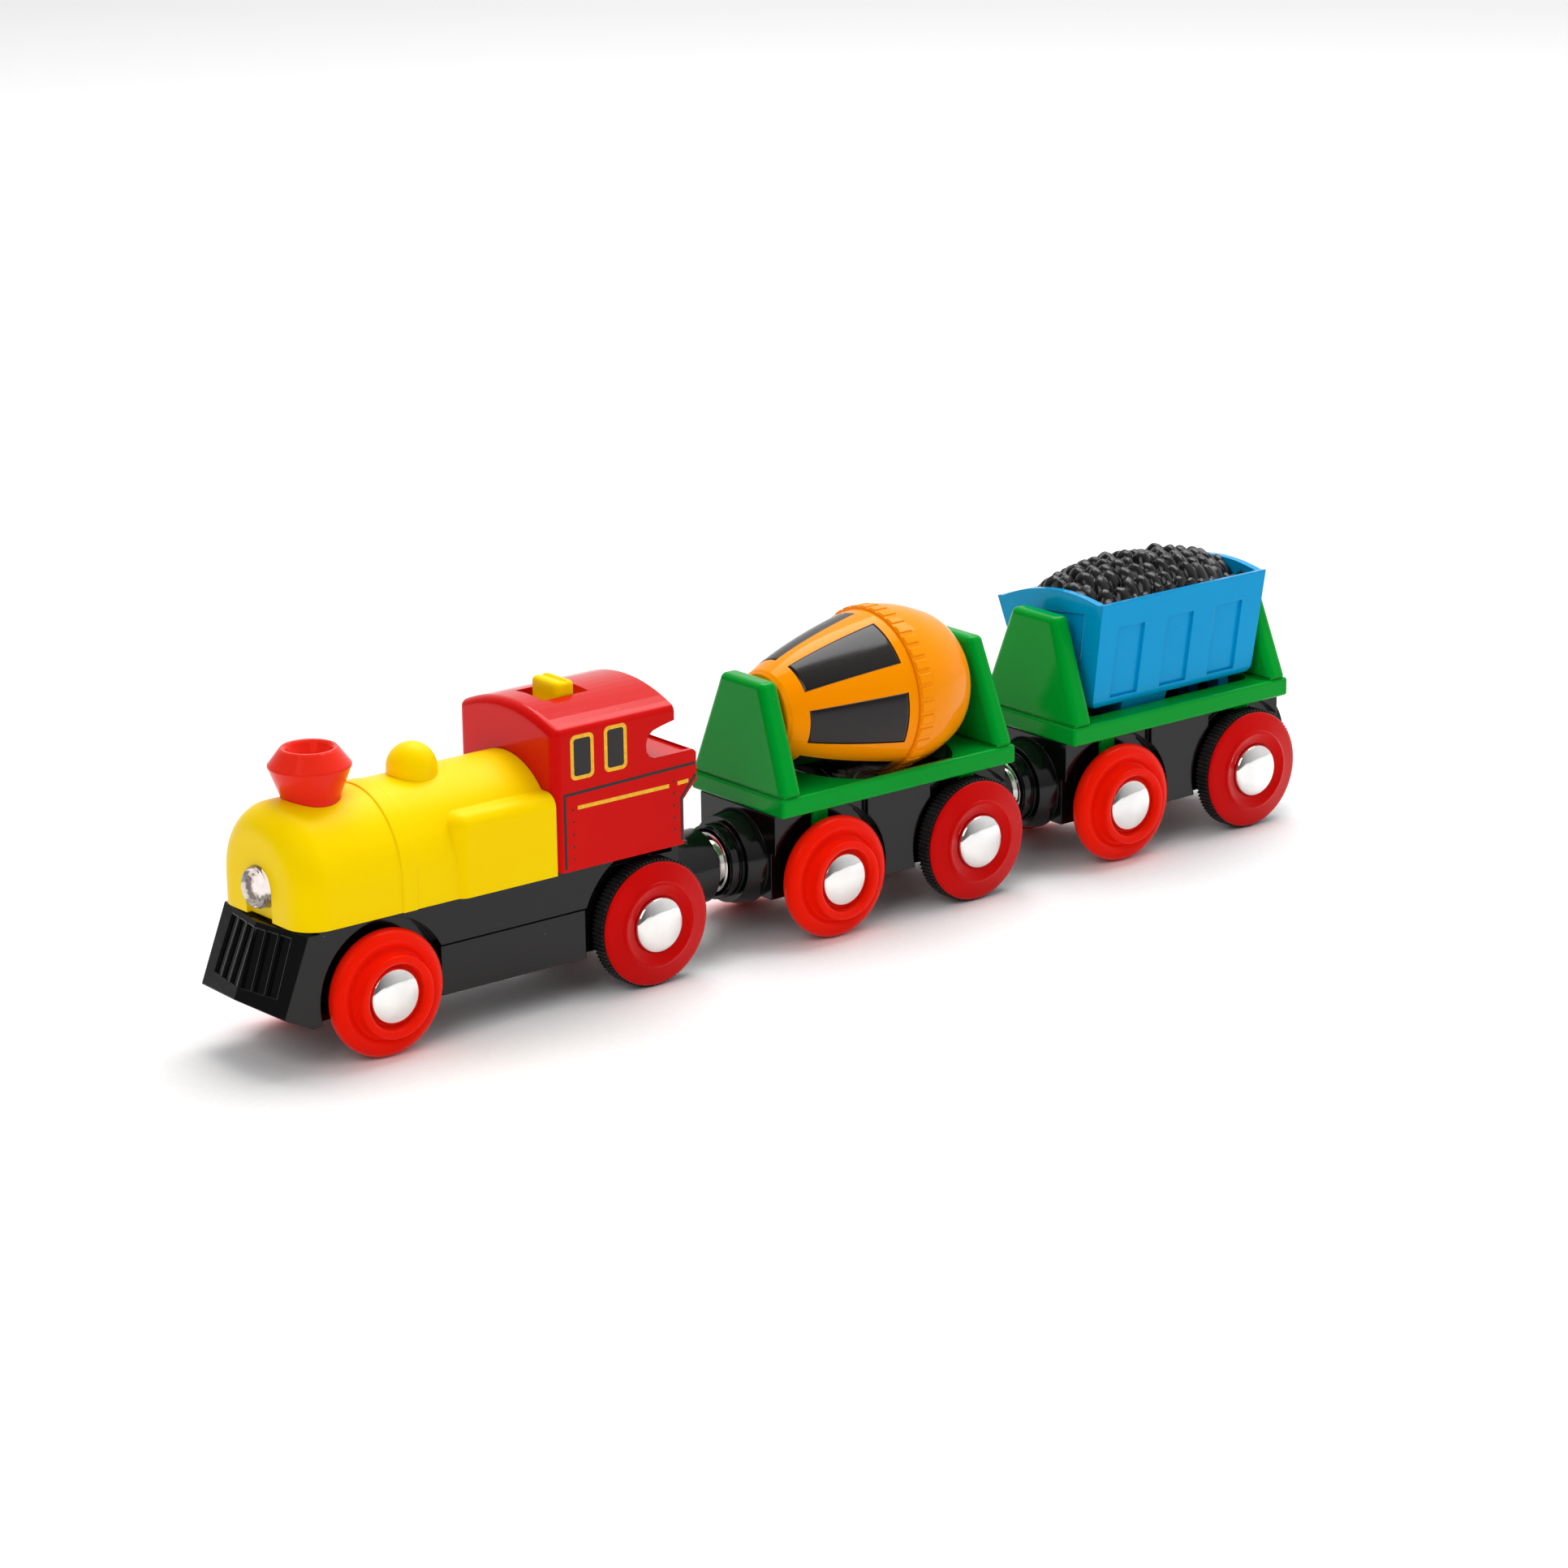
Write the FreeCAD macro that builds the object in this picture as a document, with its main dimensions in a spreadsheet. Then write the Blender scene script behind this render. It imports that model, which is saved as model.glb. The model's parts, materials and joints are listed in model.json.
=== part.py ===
"""Toy train: battery locomotive, mixer wagon and tipper wagon. Millimetres, +X forward, +Z up.

Every vehicle is drawn in its own frame (x = 0 at one of its axles) and moved along the train by
the Placement of each sub-part. Driving sizes live in the sheet called Sizes.
"""

import math
import os

import FreeCAD
import Part
import Sketcher

DOC = FreeCAD.newDocument("ToyTrain")
SHEET = DOC.addObject("Spreadsheet::Sheet", "Sizes")
VECTOR = FreeCAD.Vector

SIZES = {
    # places of the vehicles along the train
    "locoshift": 39.3,
    "mixershift": -0.3,
    "tippershift": -66.8,
    # wheels and axles, shared by the three vehicles
    "axleradius": 1.5,
    "axlehalf": 15.1,
    "freeaxlez": 10.8,
    "driveaxlez": 11.05,
    "freewheelradius": 10.8,
    "drivediscradius": 10.7,
    "tyreradius": 11.05,
    "tyrecore": 7.8,
    "hubradius": 7.1,
    "capradius": 4.7,
    "wheelinner": 10.5,
    "hubface": 16.2,
    # magnetic couplings
    "couplerz": 14.0,
    "bossradius": 6.55,
    "magnetradius": 5.3,
    "loconose": 74.9,
    "nosesweep": 1.9,
    "noselean": 4.8,
    "bossfront": 17.6,
    "bossrear": 46.1,
    "locoboss": 19.2,
    # locomotive
    "locowheelbase": 53.9,
    "locohalf": 12.2,
    "framebottom": 7.6,
    "frametop": 23.7,
    "coverseam": 16.0,
    "shellhalf": 13.1,
    "shellaxisz": 29.2,
    "shellfront": 69.4,
    "shellwall": 1.6,
    "cabhalf": 13.47,
    "cabfront": 20.1,
    "cabapex": 50.9,
    "cabeaves": 47.9,
    "chimneyx": 58.7,
    "domex": 39.0,
    "lampz": 28.9,
    "slidex": 10.5,
    "motorx": 3.0,
    "motorz": 28.85,
    "idlerx": 4.0,
    "idlerz": 19.6,
    # wagons
    "wagonbase": 31.33,
    "deckfront": 11.5,
    "deckrear": 41.2,
    "deckhalf": 12.76,
    "deckbottom": 23.15,
    "decktop": 26.6,
    "boxhalf": 10.3,
    "boxbottom": 8.0,
    "wellradius": 12.5,
    "posttop": 45.4,
    # mixer
    "drumz": 38.1,
    "ringx": 17.8,
    "drumradius": 14.83,
    "drumlength": 33.67,
    "rollerx": 19.9,
    "rollerz": 16.9,
    "rollerradius": 6.0,
    "rollerturn": -5.74,
    # tipper
    "pivotz": 34.0,
    "tiltdegrees": 6.8,
    "bucketfront": 4.8,
    "bucketrear": 35.2,
    "bucketrim": 46.4,
    "bucketfloor": 26.95,
    "bucketrise": 2.2,
    "rimhalf": 14.3,
    "floorhalf": 8.7,
    "endlean": 0.5,
}


class Size:
    """A length that keeps both its number and the sheet expression it comes from."""

    def __init__(self, number, text):
        self.number = number
        self.text = text

    def _join(self, other, sign, number):
        text = other.text if isinstance(other, Size) else repr(float(other))
        return Size(number, "(" + self.text + " " + sign + " " + text + ")")

    def __add__(self, other):
        return self._join(other, "+", self.number + num(other))

    def __sub__(self, other):
        return self._join(other, "-", self.number - num(other))

    def __mul__(self, other):
        return self._join(other, "*", self.number * num(other))

    def __neg__(self):
        return Size(-self.number, "(0 - " + self.text + ")")

    def __radd__(self, other):
        return self + other

    def __rsub__(self, other):
        return (-self) + other

    def __rmul__(self, other):
        return self * other


def num(value):
    return value.number if isinstance(value, Size) else float(value)


def fill_sheet():
    sizes = {}
    for row, (name, number) in enumerate(SIZES.items(), start=1):
        SHEET.set("A%d" % row, name)
        SHEET.set("B%d" % row, str(number))
        SHEET.setAlias("B%d" % row, name)
        sizes[name] = Size(number, "Sizes." + name)
    DOC.recompute()
    return sizes


S = fill_sheet()
NODES = []


def put(thing, path, value):
    """Sets one property, as an expression where the value comes from the sheet."""
    if isinstance(value, Size):
        thing.setExpression(path, value.text)
    elif path.startswith("Placement.Base."):
        thing.setExpression(path, repr(float(value)))
    else:
        setattr(thing, path, value)


def place(thing, x=0, y=0, z=0):
    put(thing, "Placement.Base.x", x)
    put(thing, "Placement.Base.y", y)
    put(thing, "Placement.Base.z", z)
    return thing


def node(name, thing, shift=None):
    """Names a finished sub-part and moves it to its vehicle's place in the train."""
    thing.Label = name
    if shift is not None:
        put(thing, "Placement.Base.x", shift)
    NODES.append((name, thing))
    return thing


def box(x0, x1, y0, y1, z0, z1):
    """A block between two corners."""
    thing = DOC.addObject("Part::Box", "Block")
    put(thing, "Length", x1 - x0)
    put(thing, "Width", y1 - y0)
    put(thing, "Height", z1 - z0)
    return place(thing, x0, y0, z0)


AXIS_TURN = {
    "X": FreeCAD.Rotation(VECTOR(0, 1, 0), 90),
    "Y": FreeCAD.Rotation(VECTOR(1, 0, 0), -90),
    "Z": FreeCAD.Rotation(),
}


def rod(axis, x, y, z, radius, length):
    """A cylinder that starts at a point and runs along +axis."""
    thing = DOC.addObject("Part::Cylinder", "Rod")
    put(thing, "Radius", radius)
    put(thing, "Height", length)
    thing.Placement = FreeCAD.Placement(VECTOR(), AXIS_TURN[axis])
    return place(thing, x, y, z)


def cone(axis, x, y, z, radius0, radius1, length):
    thing = DOC.addObject("Part::Cone", "Taper")
    put(thing, "Radius1", radius0)
    put(thing, "Radius2", radius1)
    put(thing, "Height", length)
    thing.Placement = FreeCAD.Placement(VECTOR(), AXIS_TURN[axis])
    return place(thing, x, y, z)


def ball(x, y, z, radius):
    thing = DOC.addObject("Part::Sphere", "Ball")
    put(thing, "Radius", radius)
    return place(thing, x, y, z)


def frustum(base, top, z0, z1):
    """A block whose top rectangle differs from its base; each rectangle is (x0, x1, half width)."""
    thing = DOC.addObject("Part::Wedge", "Frustum")
    put(thing, "Xmin", base[0])
    put(thing, "Xmax", base[1])
    put(thing, "X2min", top[0])
    put(thing, "X2max", top[1])
    put(thing, "Zmin", -1 * base[2])
    put(thing, "Zmax", base[2])
    put(thing, "Z2min", -1 * top[2])
    put(thing, "Z2max", top[2])
    put(thing, "Ymin", z0)
    put(thing, "Ymax", z1)
    thing.Placement = FreeCAD.Placement(VECTOR(), FreeCAD.Rotation(VECTOR(1, 0, 0), 90))
    return thing


def join(parts):
    thing = DOC.addObject("Part::MultiFuse", "Joined")
    thing.Shapes = parts
    return thing


def carve(base, tools):
    thing = DOC.addObject("Part::Cut", "Carved")
    thing.Base = base
    thing.Tool = tools[0] if len(tools) == 1 else join(tools)
    return thing


def overlap(first, second):
    thing = DOC.addObject("Part::Common", "Overlap")
    thing.Base = first
    thing.Tool = second
    return thing


def group(parts):
    """Equal pieces kept as separate solids under one name."""
    thing = DOC.addObject("Part::Compound", "Group")
    thing.Links = parts
    return thing


def mirror_y(source):
    thing = DOC.addObject("Part::Mirroring", "Mirrored")
    thing.Source = source
    thing.Normal = VECTOR(0, 1, 0)
    return thing


def soften(base, radius, wanted):
    """Rounds the edges of a shape for which wanted(edge) is true."""
    DOC.recompute()
    edges = []
    for index, edge in enumerate(base.Shape.Edges, start=1):
        if wanted(edge):
            edges.append((index, radius, radius))
    thing = DOC.addObject("Part::Fillet", "Softened")
    thing.Base = base
    thing.Edges = edges
    return thing


def ends(edge):
    return [vertex.Point for vertex in edge.Vertexes]


def near(value, target, slack=0.02):
    return abs(value - num(target)) < slack


def all_at(edge, axis, target):
    return all(near(getattr(point, axis), target) for point in ends(edge))


def origin_plane(body, role):
    for feature in body.Origin.OriginFeatures:
        if feature.Role == role:
            return feature
    return None


def outline(body, name, role, points, offset=0):
    """A closed outline on an origin plane, each corner held by two dimensions."""
    sketch = body.newObject("Sketcher::SketchObject", name)
    sketch.AttachmentSupport = (origin_plane(body, role), [""])
    sketch.MapMode = "FlatFace"
    sketch.AttachmentOffset = FreeCAD.Placement(VECTOR(0, 0, num(offset)), FreeCAD.Rotation())
    count = len(points)
    for index in range(count):
        start = points[index]
        stop = points[(index + 1) % count]
        line = Part.LineSegment(
            VECTOR(num(start[0]), num(start[1]), 0), VECTOR(num(stop[0]), num(stop[1]), 0)
        )
        sketch.addGeometry(line, False)
    for index in range(count):
        sketch.addConstraint(
            Sketcher.Constraint("Coincident", index, 2, (index + 1) % count, 1)
        )
    for index, point in enumerate(points):
        for kind, value in (("DistanceX", point[0]), ("DistanceY", point[1])):
            number = sketch.addConstraint(
                Sketcher.Constraint(kind, -1, 1, index, 1, num(value))
            )
            if isinstance(value, Size):
                sketch.setExpression("Constraints[%d]" % number, value.text)
    return sketch


def new_body(name):
    return DOC.addObject("PartDesign::Body", name)


def turned(name, points, axis="Y"):
    """A solid of revolution. Points are (radius, distance along the axis)."""
    body = new_body(name)
    if axis == "X":
        sketch = outline(body, name + "Outline", "XY_Plane", [(p[1], p[0]) for p in points])
        line = "H_Axis"
    elif axis == "Z":
        sketch = outline(body, name + "Outline", "XZ_Plane", points)
        line = "V_Axis"
    else:
        sketch = outline(body, name + "Outline", "XY_Plane", points)
        line = "V_Axis"
    spin = body.newObject("PartDesign::Revolution", name + "Spin")
    spin.Profile = sketch
    spin.ReferenceAxis = (sketch, [line])
    spin.Angle = 360
    body.Tip = spin
    return body


def padded(name, role, points, depth, middle=True):
    """A flat outline given thickness, half to each side of its plane."""
    body = new_body(name)
    sketch = outline(body, name + "Outline", role, points)
    pad = body.newObject("PartDesign::Pad", name + "Pad")
    pad.Profile = sketch
    put(pad, "Length", depth)
    pad.Midplane = middle
    body.Tip = pad
    return body


def add_ring(body, name, role, radius, depth):
    sketch = body.newObject("Sketcher::SketchObject", name)
    sketch.AttachmentSupport = (origin_plane(body, role), [""])
    sketch.MapMode = "FlatFace"
    sketch.addGeometry(Part.Circle(VECTOR(), VECTOR(0, 0, 1), num(radius)), False)
    sketch.addConstraint(Sketcher.Constraint("Coincident", 0, 3, -1, 1))
    number = sketch.addConstraint(Sketcher.Constraint("Radius", 0, num(radius)))
    if isinstance(radius, Size):
        sketch.setExpression("Constraints[%d]" % number, radius.text)
    pad = body.newObject("PartDesign::Pad", name + "Pad")
    pad.Profile = sketch
    put(pad, "Length", depth)
    pad.Midplane = True
    return sketch, pad


def toothed(name, role, root, tip, width, teeth, root_half, tip_half):
    """A toothed disc: a plain disc, one tooth, and the tooth repeated round the axis."""
    body = new_body(name)
    add_ring(body, name + "Disc", role, root, width)
    points = [
        (num(root) - 0.3, -root_half),
        (tip, -tip_half),
        (tip, tip_half),
        (num(root) - 0.3, root_half),
    ]
    tooth = outline(body, name + "ToothOutline", role, points)
    pad = body.newObject("PartDesign::Pad", name + "Tooth")
    pad.Profile = tooth
    put(pad, "Length", width)
    pad.Midplane = True
    pattern = body.newObject("PartDesign::PolarPattern", name + "Teeth")
    pattern.Originals = [pad]
    pattern.Axis = (tooth, ["N_Axis"])
    pattern.Angle = 360
    pattern.Occurrences = teeth
    body.Tip = pattern
    return body


# ---------------------------------------------------------------- wheelsets


def free_wheel(name):
    """Undriven wheel: thick rounded rim, dished face and a raised hub ring round the cap."""
    inner = S["wheelinner"]
    rim = S["freewheelradius"]
    points = [
        (S["axleradius"], inner),
        (4.0, inner),
        (rim - 1.2, inner),
        (rim - 0.35, inner + 0.45),
        (rim, inner + 1.3),
        (rim, inner + 2.1),
        (rim - 0.3, inner + 2.95),
        (rim - 1.0, inner + 3.55),
        (rim - 1.9, inner + 3.65),
        (rim - 2.7, inner + 3.4),
        (S["hubradius"] + 0.35, inner + 2.9),
        (S["hubradius"], inner + 3.1),
        (S["hubradius"] - 0.1, S["hubface"] - 0.35),
        (S["hubradius"] - 0.45, S["hubface"]),
        (5.6, S["hubface"]),
        (5.3, S["hubface"] - 0.25),
        (5.1, inner + 4.1),
        (S["axleradius"], inner + 4.1),
    ]
    return place(turned(name, points), 0, 0, S["freeaxlez"])


def drive_wheel(name):
    """Driven wheel: a core that carries the tyre and a flat conical face with a low ring."""
    inner = S["wheelinner"]
    disc = S["drivediscradius"]
    points = [
        (S["axleradius"], inner),
        (S["tyrecore"], inner),
        (S["tyrecore"], inner + 2.7),
        (disc - 0.25, inner + 2.7),
        (disc, inner + 2.95),
        (disc, inner + 3.1),
        (disc - 0.3, inner + 3.3),
        (S["hubradius"] + 0.35, inner + 3.95),
        (S["hubradius"] + 0.15, inner + 4.25),
        (S["hubradius"] - 0.35, inner + 4.3),
        (S["hubradius"] - 0.7, inner + 4.05),
        (5.1, inner + 3.75),
        (4.9, inner + 3.6),
        (S["axleradius"], inner + 3.6),
    ]
    return turned(name, points)


def tyre(name):
    """Ribbed rubber ring round the core of a driven wheel."""
    body = toothed(
        name, "XZ_Plane", S["tyreradius"] - 0.35, S["tyreradius"], 2.6, 90, 0.26, 0.15
    )
    hole = rod("Y", 0, -2, 0, S["tyrecore"], 4)
    return place(carve(body, [hole]), 0, S["wheelinner"] + 1.35, S["driveaxlez"])


def hub_cap(name, height, seat):
    """Pressed metal dome that closes the end of an axle."""
    rim = S["capradius"]
    crown = seat + 1.8
    points = [
        (0, seat + 0.55),
        (S["axleradius"], seat + 0.55),
        (S["axleradius"], seat),
        (rim - 0.1, seat),
        (rim, seat + 0.12),
        (rim, seat + 0.55),
        (rim - 0.2, seat + 0.85),
        (rim * 0.85, seat + 1.17),
        (rim * 0.68, seat + 1.42),
        (rim * 0.5, seat + 1.6),
        (rim * 0.26, seat + 1.75),
        (0, crown),
    ]
    return place(turned(name, points), 0, 0, height)


def axle(name, height):
    half = S["axlehalf"]
    return rod("Y", 0, -half, height, S["axleradius"], half * 2)


def pair(left):
    """A piece on the left side of the vehicle and its twin on the right."""
    return [left, mirror_y(left)]


def running_gear():
    """Draws each kind of wheelset piece once; every vehicle carries the same ones."""
    face = S["wheelinner"]
    rear_wheel = place(drive_wheel("WheelRear"), 0, 0, S["driveaxlez"])
    return {
        "axle_front": [axle("AxleFront", S["freeaxlez"])],
        "axle_rear": [axle("AxleRear", S["driveaxlez"])],
        "wheels_front": pair(free_wheel("WheelFront")),
        "wheels_rear": pair(rear_wheel),
        "tyres": pair(tyre("Tyre")),
        "caps_front": pair(hub_cap("CapFront", S["freeaxlez"], face + 4.1)),
        "caps_rear": pair(hub_cap("CapRear", S["driveaxlez"], face + 3.6)),
    }


def wheelset(prefix, pieces, front, rear, shift):
    """Both axles of a vehicle with their wheels, tyres and caps."""
    for name, links in pieces.items():
        reach = front if name.endswith("front") else rear
        node(prefix + "_" + name, group(links), shift + reach)


def magnet(name):
    """Domed steel-capped magnet with the headed stem that keeps it in its socket; faces +X."""
    rim = S["magnetradius"]
    points = [
        (0, -3.0),
        (2.3, -3.0),
        (2.3, -2.25),
        (1.2, -2.0),
        (1.2, 1.3),
        (rim - 0.2, 1.3),
        (rim, 1.5),
        (rim, 3.9),
        (rim - 0.25, 4.15),
        (rim * 0.8, 4.55),
        (rim * 0.55, 4.85),
        (rim * 0.25, 5.0),
        (0, 5.03),
    ]
    return turned(name, points, "X")


def magnet_node(name, x, facing_front, shift):
    """Seats a magnet so its stem pivots at x."""
    body = magnet(name.title().replace("_", ""))
    if not facing_front:
        body.Placement = FreeCAD.Placement(VECTOR(), FreeCAD.Rotation(VECTOR(0, 0, 1), 180))
    put(body, "Placement.Base.z", S["couplerz"])
    node(name, body, shift + x)


def socket_tools(x_face, sign, reach):
    """Hollows that let a magnet sit and swivel: cup, stem hole and the space for its head."""
    height = S["couplerz"]
    cup_start = x_face - 4.7 if sign > 0 else x_face - 0.5
    stem_start = x_face - 5.9 if sign > 0 else x_face + 4.0
    head_start = x_face - (5.4 + reach) if sign > 0 else x_face + 5.4
    return [
        rod("X", cup_start, 0, height, 5.95, 5.2),
        rod("X", stem_start, 0, height, 1.9, 1.9),
        rod("X", head_start, 0, height, 3.4, reach),
    ]


# ---------------------------------------------------------------- locomotive


def loco_nose():
    """Cowcatcher: two swept facets as wide as the frame that lean forward towards the bottom."""
    body = new_body("LocoNose")
    half = S["locohalf"]
    foot = S["loconose"] + S["noselean"] * 0.28
    head = S["loconose"] - S["noselean"]
    sections = []
    for front in (foot, head):
        back = front - S["nosesweep"]
        sections.append([(58.0, -half), (back, -half), (front, 0.0), (back, half), (58.0, half)])
    low = outline(body, "NoseLow", "XY_Plane", sections[0], S["framebottom"])
    high = outline(body, "NoseHigh", "XY_Plane", sections[1], S["frametop"] - 0.5)
    loft = body.newObject("PartDesign::AdditiveLoft", "NoseLoft")
    loft.Profile = low
    loft.Sections = [high]
    loft.Ruled = True
    body.Tip = loft
    return body


def nose_slots():
    """Shallow upright slots, three in each facet, laid in the leaning plane of the facet."""
    along = VECTOR(-num(S["nosesweep"]), num(S["locohalf"]), 0).normalize()
    outward = along.cross(VECTOR(-num(S["noselean"]), 0, 12.2)).normalize()
    up = outward.cross(along)
    turn = FreeCAD.Rotation(along, -outward, up, "XZY")
    slots = []
    for index in range(3):
        reach = 0.7 + 3.1 * index
        corner = VECTOR(num(S["loconose"]), 0, 11.0) + along * reach + up * 2.1
        slot = DOC.addObject("Part::Box", "Slot")
        slot.Length = 2.5
        slot.Width = 1.6
        slot.Height = 10.0
        slot.Placement = FreeCAD.Placement(corner + outward * 1.15, turn)
        slots += [slot, mirror_y(slot)]
    return slots


def loco_frame():
    """Hollow lower frame with nose, wheel arches, gear bay, cell bay and rear coupling boss."""
    half = S["locohalf"]
    top = S["frametop"]
    base = S["framebottom"]
    boss = S["locoboss"]
    front = S["locowheelbase"]
    solid = join(
        [
            box(-8.0, 66.0, -half, half, base, top),
            loco_nose(),
            rod("X", -boss, 0, S["couplerz"], S["bossradius"], boss - 7.0),
            cone("X", -11.5, 0, S["couplerz"], S["bossradius"], 7.6, 4.0),
        ]
    )
    tools = [
        # underside sweeps up towards the nose
        ramp_under_nose(),
        # room for the lower cover between the wheels and its tongue under the front axle
        box(13.3, 43.0, -20, 20, 0, S["coverseam"] + 0.25),
        box(9.9, 64.3, -8.6, 8.6, 0, base + 1.75),
        # cell bay and gear bay
        box(11.6, 67.0, -8.4, 8.4, base + 1.0, top + 1),
        box(13.3, 42.0, -10.6, 10.6, base + 1.0, top + 1),
        box(-6.4, 11.6, -8.4, 8.4, base + 1.4, top + 1),
        box(-6.4, 11.6, -10.8, 10.8, 21.6, top + 1),
        # slot under the gear on the rear axle
        box(-7.4, 7.4, -4.9, -0.9, 0, 14.5),
        # axle holes
        rod("Y", 0, -20, S["driveaxlez"], S["axleradius"] + 0.06, 40),
        rod("Y", front, -20, S["freeaxlez"], S["axleradius"] + 0.06, 40),
        # idler shaft holes
        rod("Y", S["idlerx"], -8.6, S["idlerz"], 0.8, 17.2),
    ]
    for y in (-20, 9.8):
        tools.append(rod("Y", 0, y, S["driveaxlez"], 14.2, 10.2))
        tools.append(rod("Y", front, y, S["freeaxlez"], 12.5, 10.2))
    tools += socket_tools(-boss, -1, 7.6)
    tools += nose_slots()
    node("loco_frame", carve(solid, tools), S["locoshift"])


def ramp_under_nose():
    points = [(64.0, 7.0), (66.6, 7.0), (S["loconose"], 11.0), (90.0, 18.3), (90.0, 0.0), (64.0, 0.0)]
    return padded("NoseRamp", "XZ_Plane", points, 40)


def loco_cover():
    """Lower cover: a tray between the wheels with a tongue under the front axle."""
    half = S["locohalf"]
    base = S["framebottom"]
    solid = join(
        [
            box(13.6, 42.7, -half, half, base, S["coverseam"]),
            box(10.2, 64.0, -8.3, 8.3, base, base + 1.5),
            box(19.0, 21.0, -8.0, 8.0, base + 1.0, 18.0),
            box(35.0, 37.0, -8.0, 8.0, base + 1.0, 18.0),
        ]
    )
    tools = [
        box(15.0, 19.0, -10.5, 10.5, base + 1.5, 30),
        box(21.0, 35.0, -10.5, 10.5, base + 1.5, 30),
        box(37.0, 41.3, -10.5, 10.5, base + 1.5, 30),
        rod("X", 18.0, 0, 20.9, 7.35, 20.0),
        box(10.2, 15.1, -7.0, 7.0, base + 1.5, 30),
        box(41.2, 44.0, -7.5, 7.5, base + 1.5, 30),
        rod("Z", 60.5, 0, 0, 1.3, 20),
        rod("Z", 60.5, 0, 0, 2.3, base + 0.7),
    ]
    node("loco_cover", carve(solid, tools), S["locoshift"])


def tunnel(x0, x1, half, axis_z, low):
    """A tunnel shaped bar: upright sides and a half round top."""
    bar = rod("X", x0, 0, axis_z, half, x1 - x0)
    arch = overlap(bar, box(x0, x1, -1 * half, half, axis_z, axis_z + half))
    whole = join([arch, box(x0, x1, -1 * half, half, low, axis_z)])
    whole.Refine = True
    return whole


def loco_boiler():
    """Yellow boiler shell with rounded front, dome, saddle band and side tanks."""
    half = S["shellhalf"]
    low = S["frametop"]
    mid = S["shellaxisz"]
    front = S["shellfront"]
    outer = tunnel(S["cabfront"] + 0.1, front, half, mid, low)
    rounded = soften(
        outer, 5.2, lambda edge: all_at(edge, "x", front) and not all_at(edge, "z", low)
    )
    tank = box(S["cabfront"] + 0.1, 40.1, -13.92, 13.92, low, 37.7)
    tank = soften(
        tank,
        2.4,
        lambda edge: (all_at(edge, "z", 37.7) and not all_at(edge, "x", S["cabfront"] + 0.1))
        or (all_at(edge, "x", 40.1) and not all_at(edge, "z", low)),
    )
    band = tunnel(47.6, 50.5, half + 0.24, mid, low)
    band = soften(
        band,
        0.2,
        lambda edge: (all_at(edge, "x", 47.6) or all_at(edge, "x", 50.5))
        and not all_at(edge, "z", low),
    )
    dome = join(
        [
            rod("Z", S["domex"], 0, 38.0, 4.25, 5.1),
            ball(S["domex"], 0, 43.1, 4.25),
        ]
    )
    solid = join([rounded, tank, band, dome])
    wall = S["shellwall"]
    hollow = tunnel(S["cabfront"] - 2, front - wall, half - wall, mid, low - 2)
    notch_low = box(front - 1.0, front + 2, -3.7, 3.7, low - 1, S["lampz"])
    tools = [
        hollow,
        notch_low,
        rod("X", front - 3.0, 0, S["lampz"], 3.6, 4.2),
        rod("Z", S["chimneyx"], 0, 36.0, 2.55, 8.0),
        rod("Z", S["domex"], 0, 38.0, 2.7, 4.5),
    ]
    node("loco_boiler", carve(solid, tools), S["locoshift"])


def loco_chimney():
    """Flared chimney with a tapered rim, a shallow bore and a peg into the boiler."""
    points = [
        (0, 39.4),
        (2.5, 39.4),
        (2.5, 40.6),
        (4.9, 40.6),
        (5.0, 42.4),
        (6.75, 46.9),
        (6.9, 47.25),
        (6.85, 47.5),
        (4.95, 50.0),
        (4.6, 50.3),
        (4.2, 50.25),
        (3.85, 49.9),
        (3.2, 48.5),
        (3.1, 48.2),
        (0, 48.2),
    ]
    body = turned("Chimney", points, "Z")
    put(body, "Placement.Base.x", S["chimneyx"])
    seat = rod("X", 40.0, 0, S["shellaxisz"], S["shellhalf"] + 0.02, 40.0)
    peg = rod("Z", S["chimneyx"], 0, 39.4, 2.5, 4.0)
    node("loco_chimney", join([carve(body, [seat]), peg]), S["locoshift"])


def cab_side():
    """Side outline of the cab, with the open notch between roof and bunker."""
    front = S["cabfront"]
    return [
        (front, S["frametop"]),
        (front, 60.0),
        (-4.75, 60.0),
        (-4.75, 45.6),
        (-2.2, 45.1),
        (-0.3, 44.6),
        (0.75, 43.8),
        (1.18, 42.5),
        (1.1, 41.2),
        (0.5, 40.3),
        (-0.5, 39.8),
        (-8.6, 39.8),
        (-9.2, 39.3),
        (-9.2, 34.5),
        (-6.35, 31.5),
        (-6.35, S["frametop"]),
    ]


def cab_front_outline(inset):
    """Arched front outline of the cab, as many short chords of the roof arc."""
    half = S["cabhalf"] - inset
    eaves = S["cabeaves"]
    rise = num(S["cabapex"]) - num(eaves)
    points = [(-half, num(S["frametop"]) - inset * 8)]
    count = 16
    for index in range(count + 1):
        share = -1 + 2 * index / count
        points.append((half * share, eaves + (rise * (1 - share * share) - inset)))
    points.append((half, num(S["frametop"]) - inset * 8))
    return points


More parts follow.
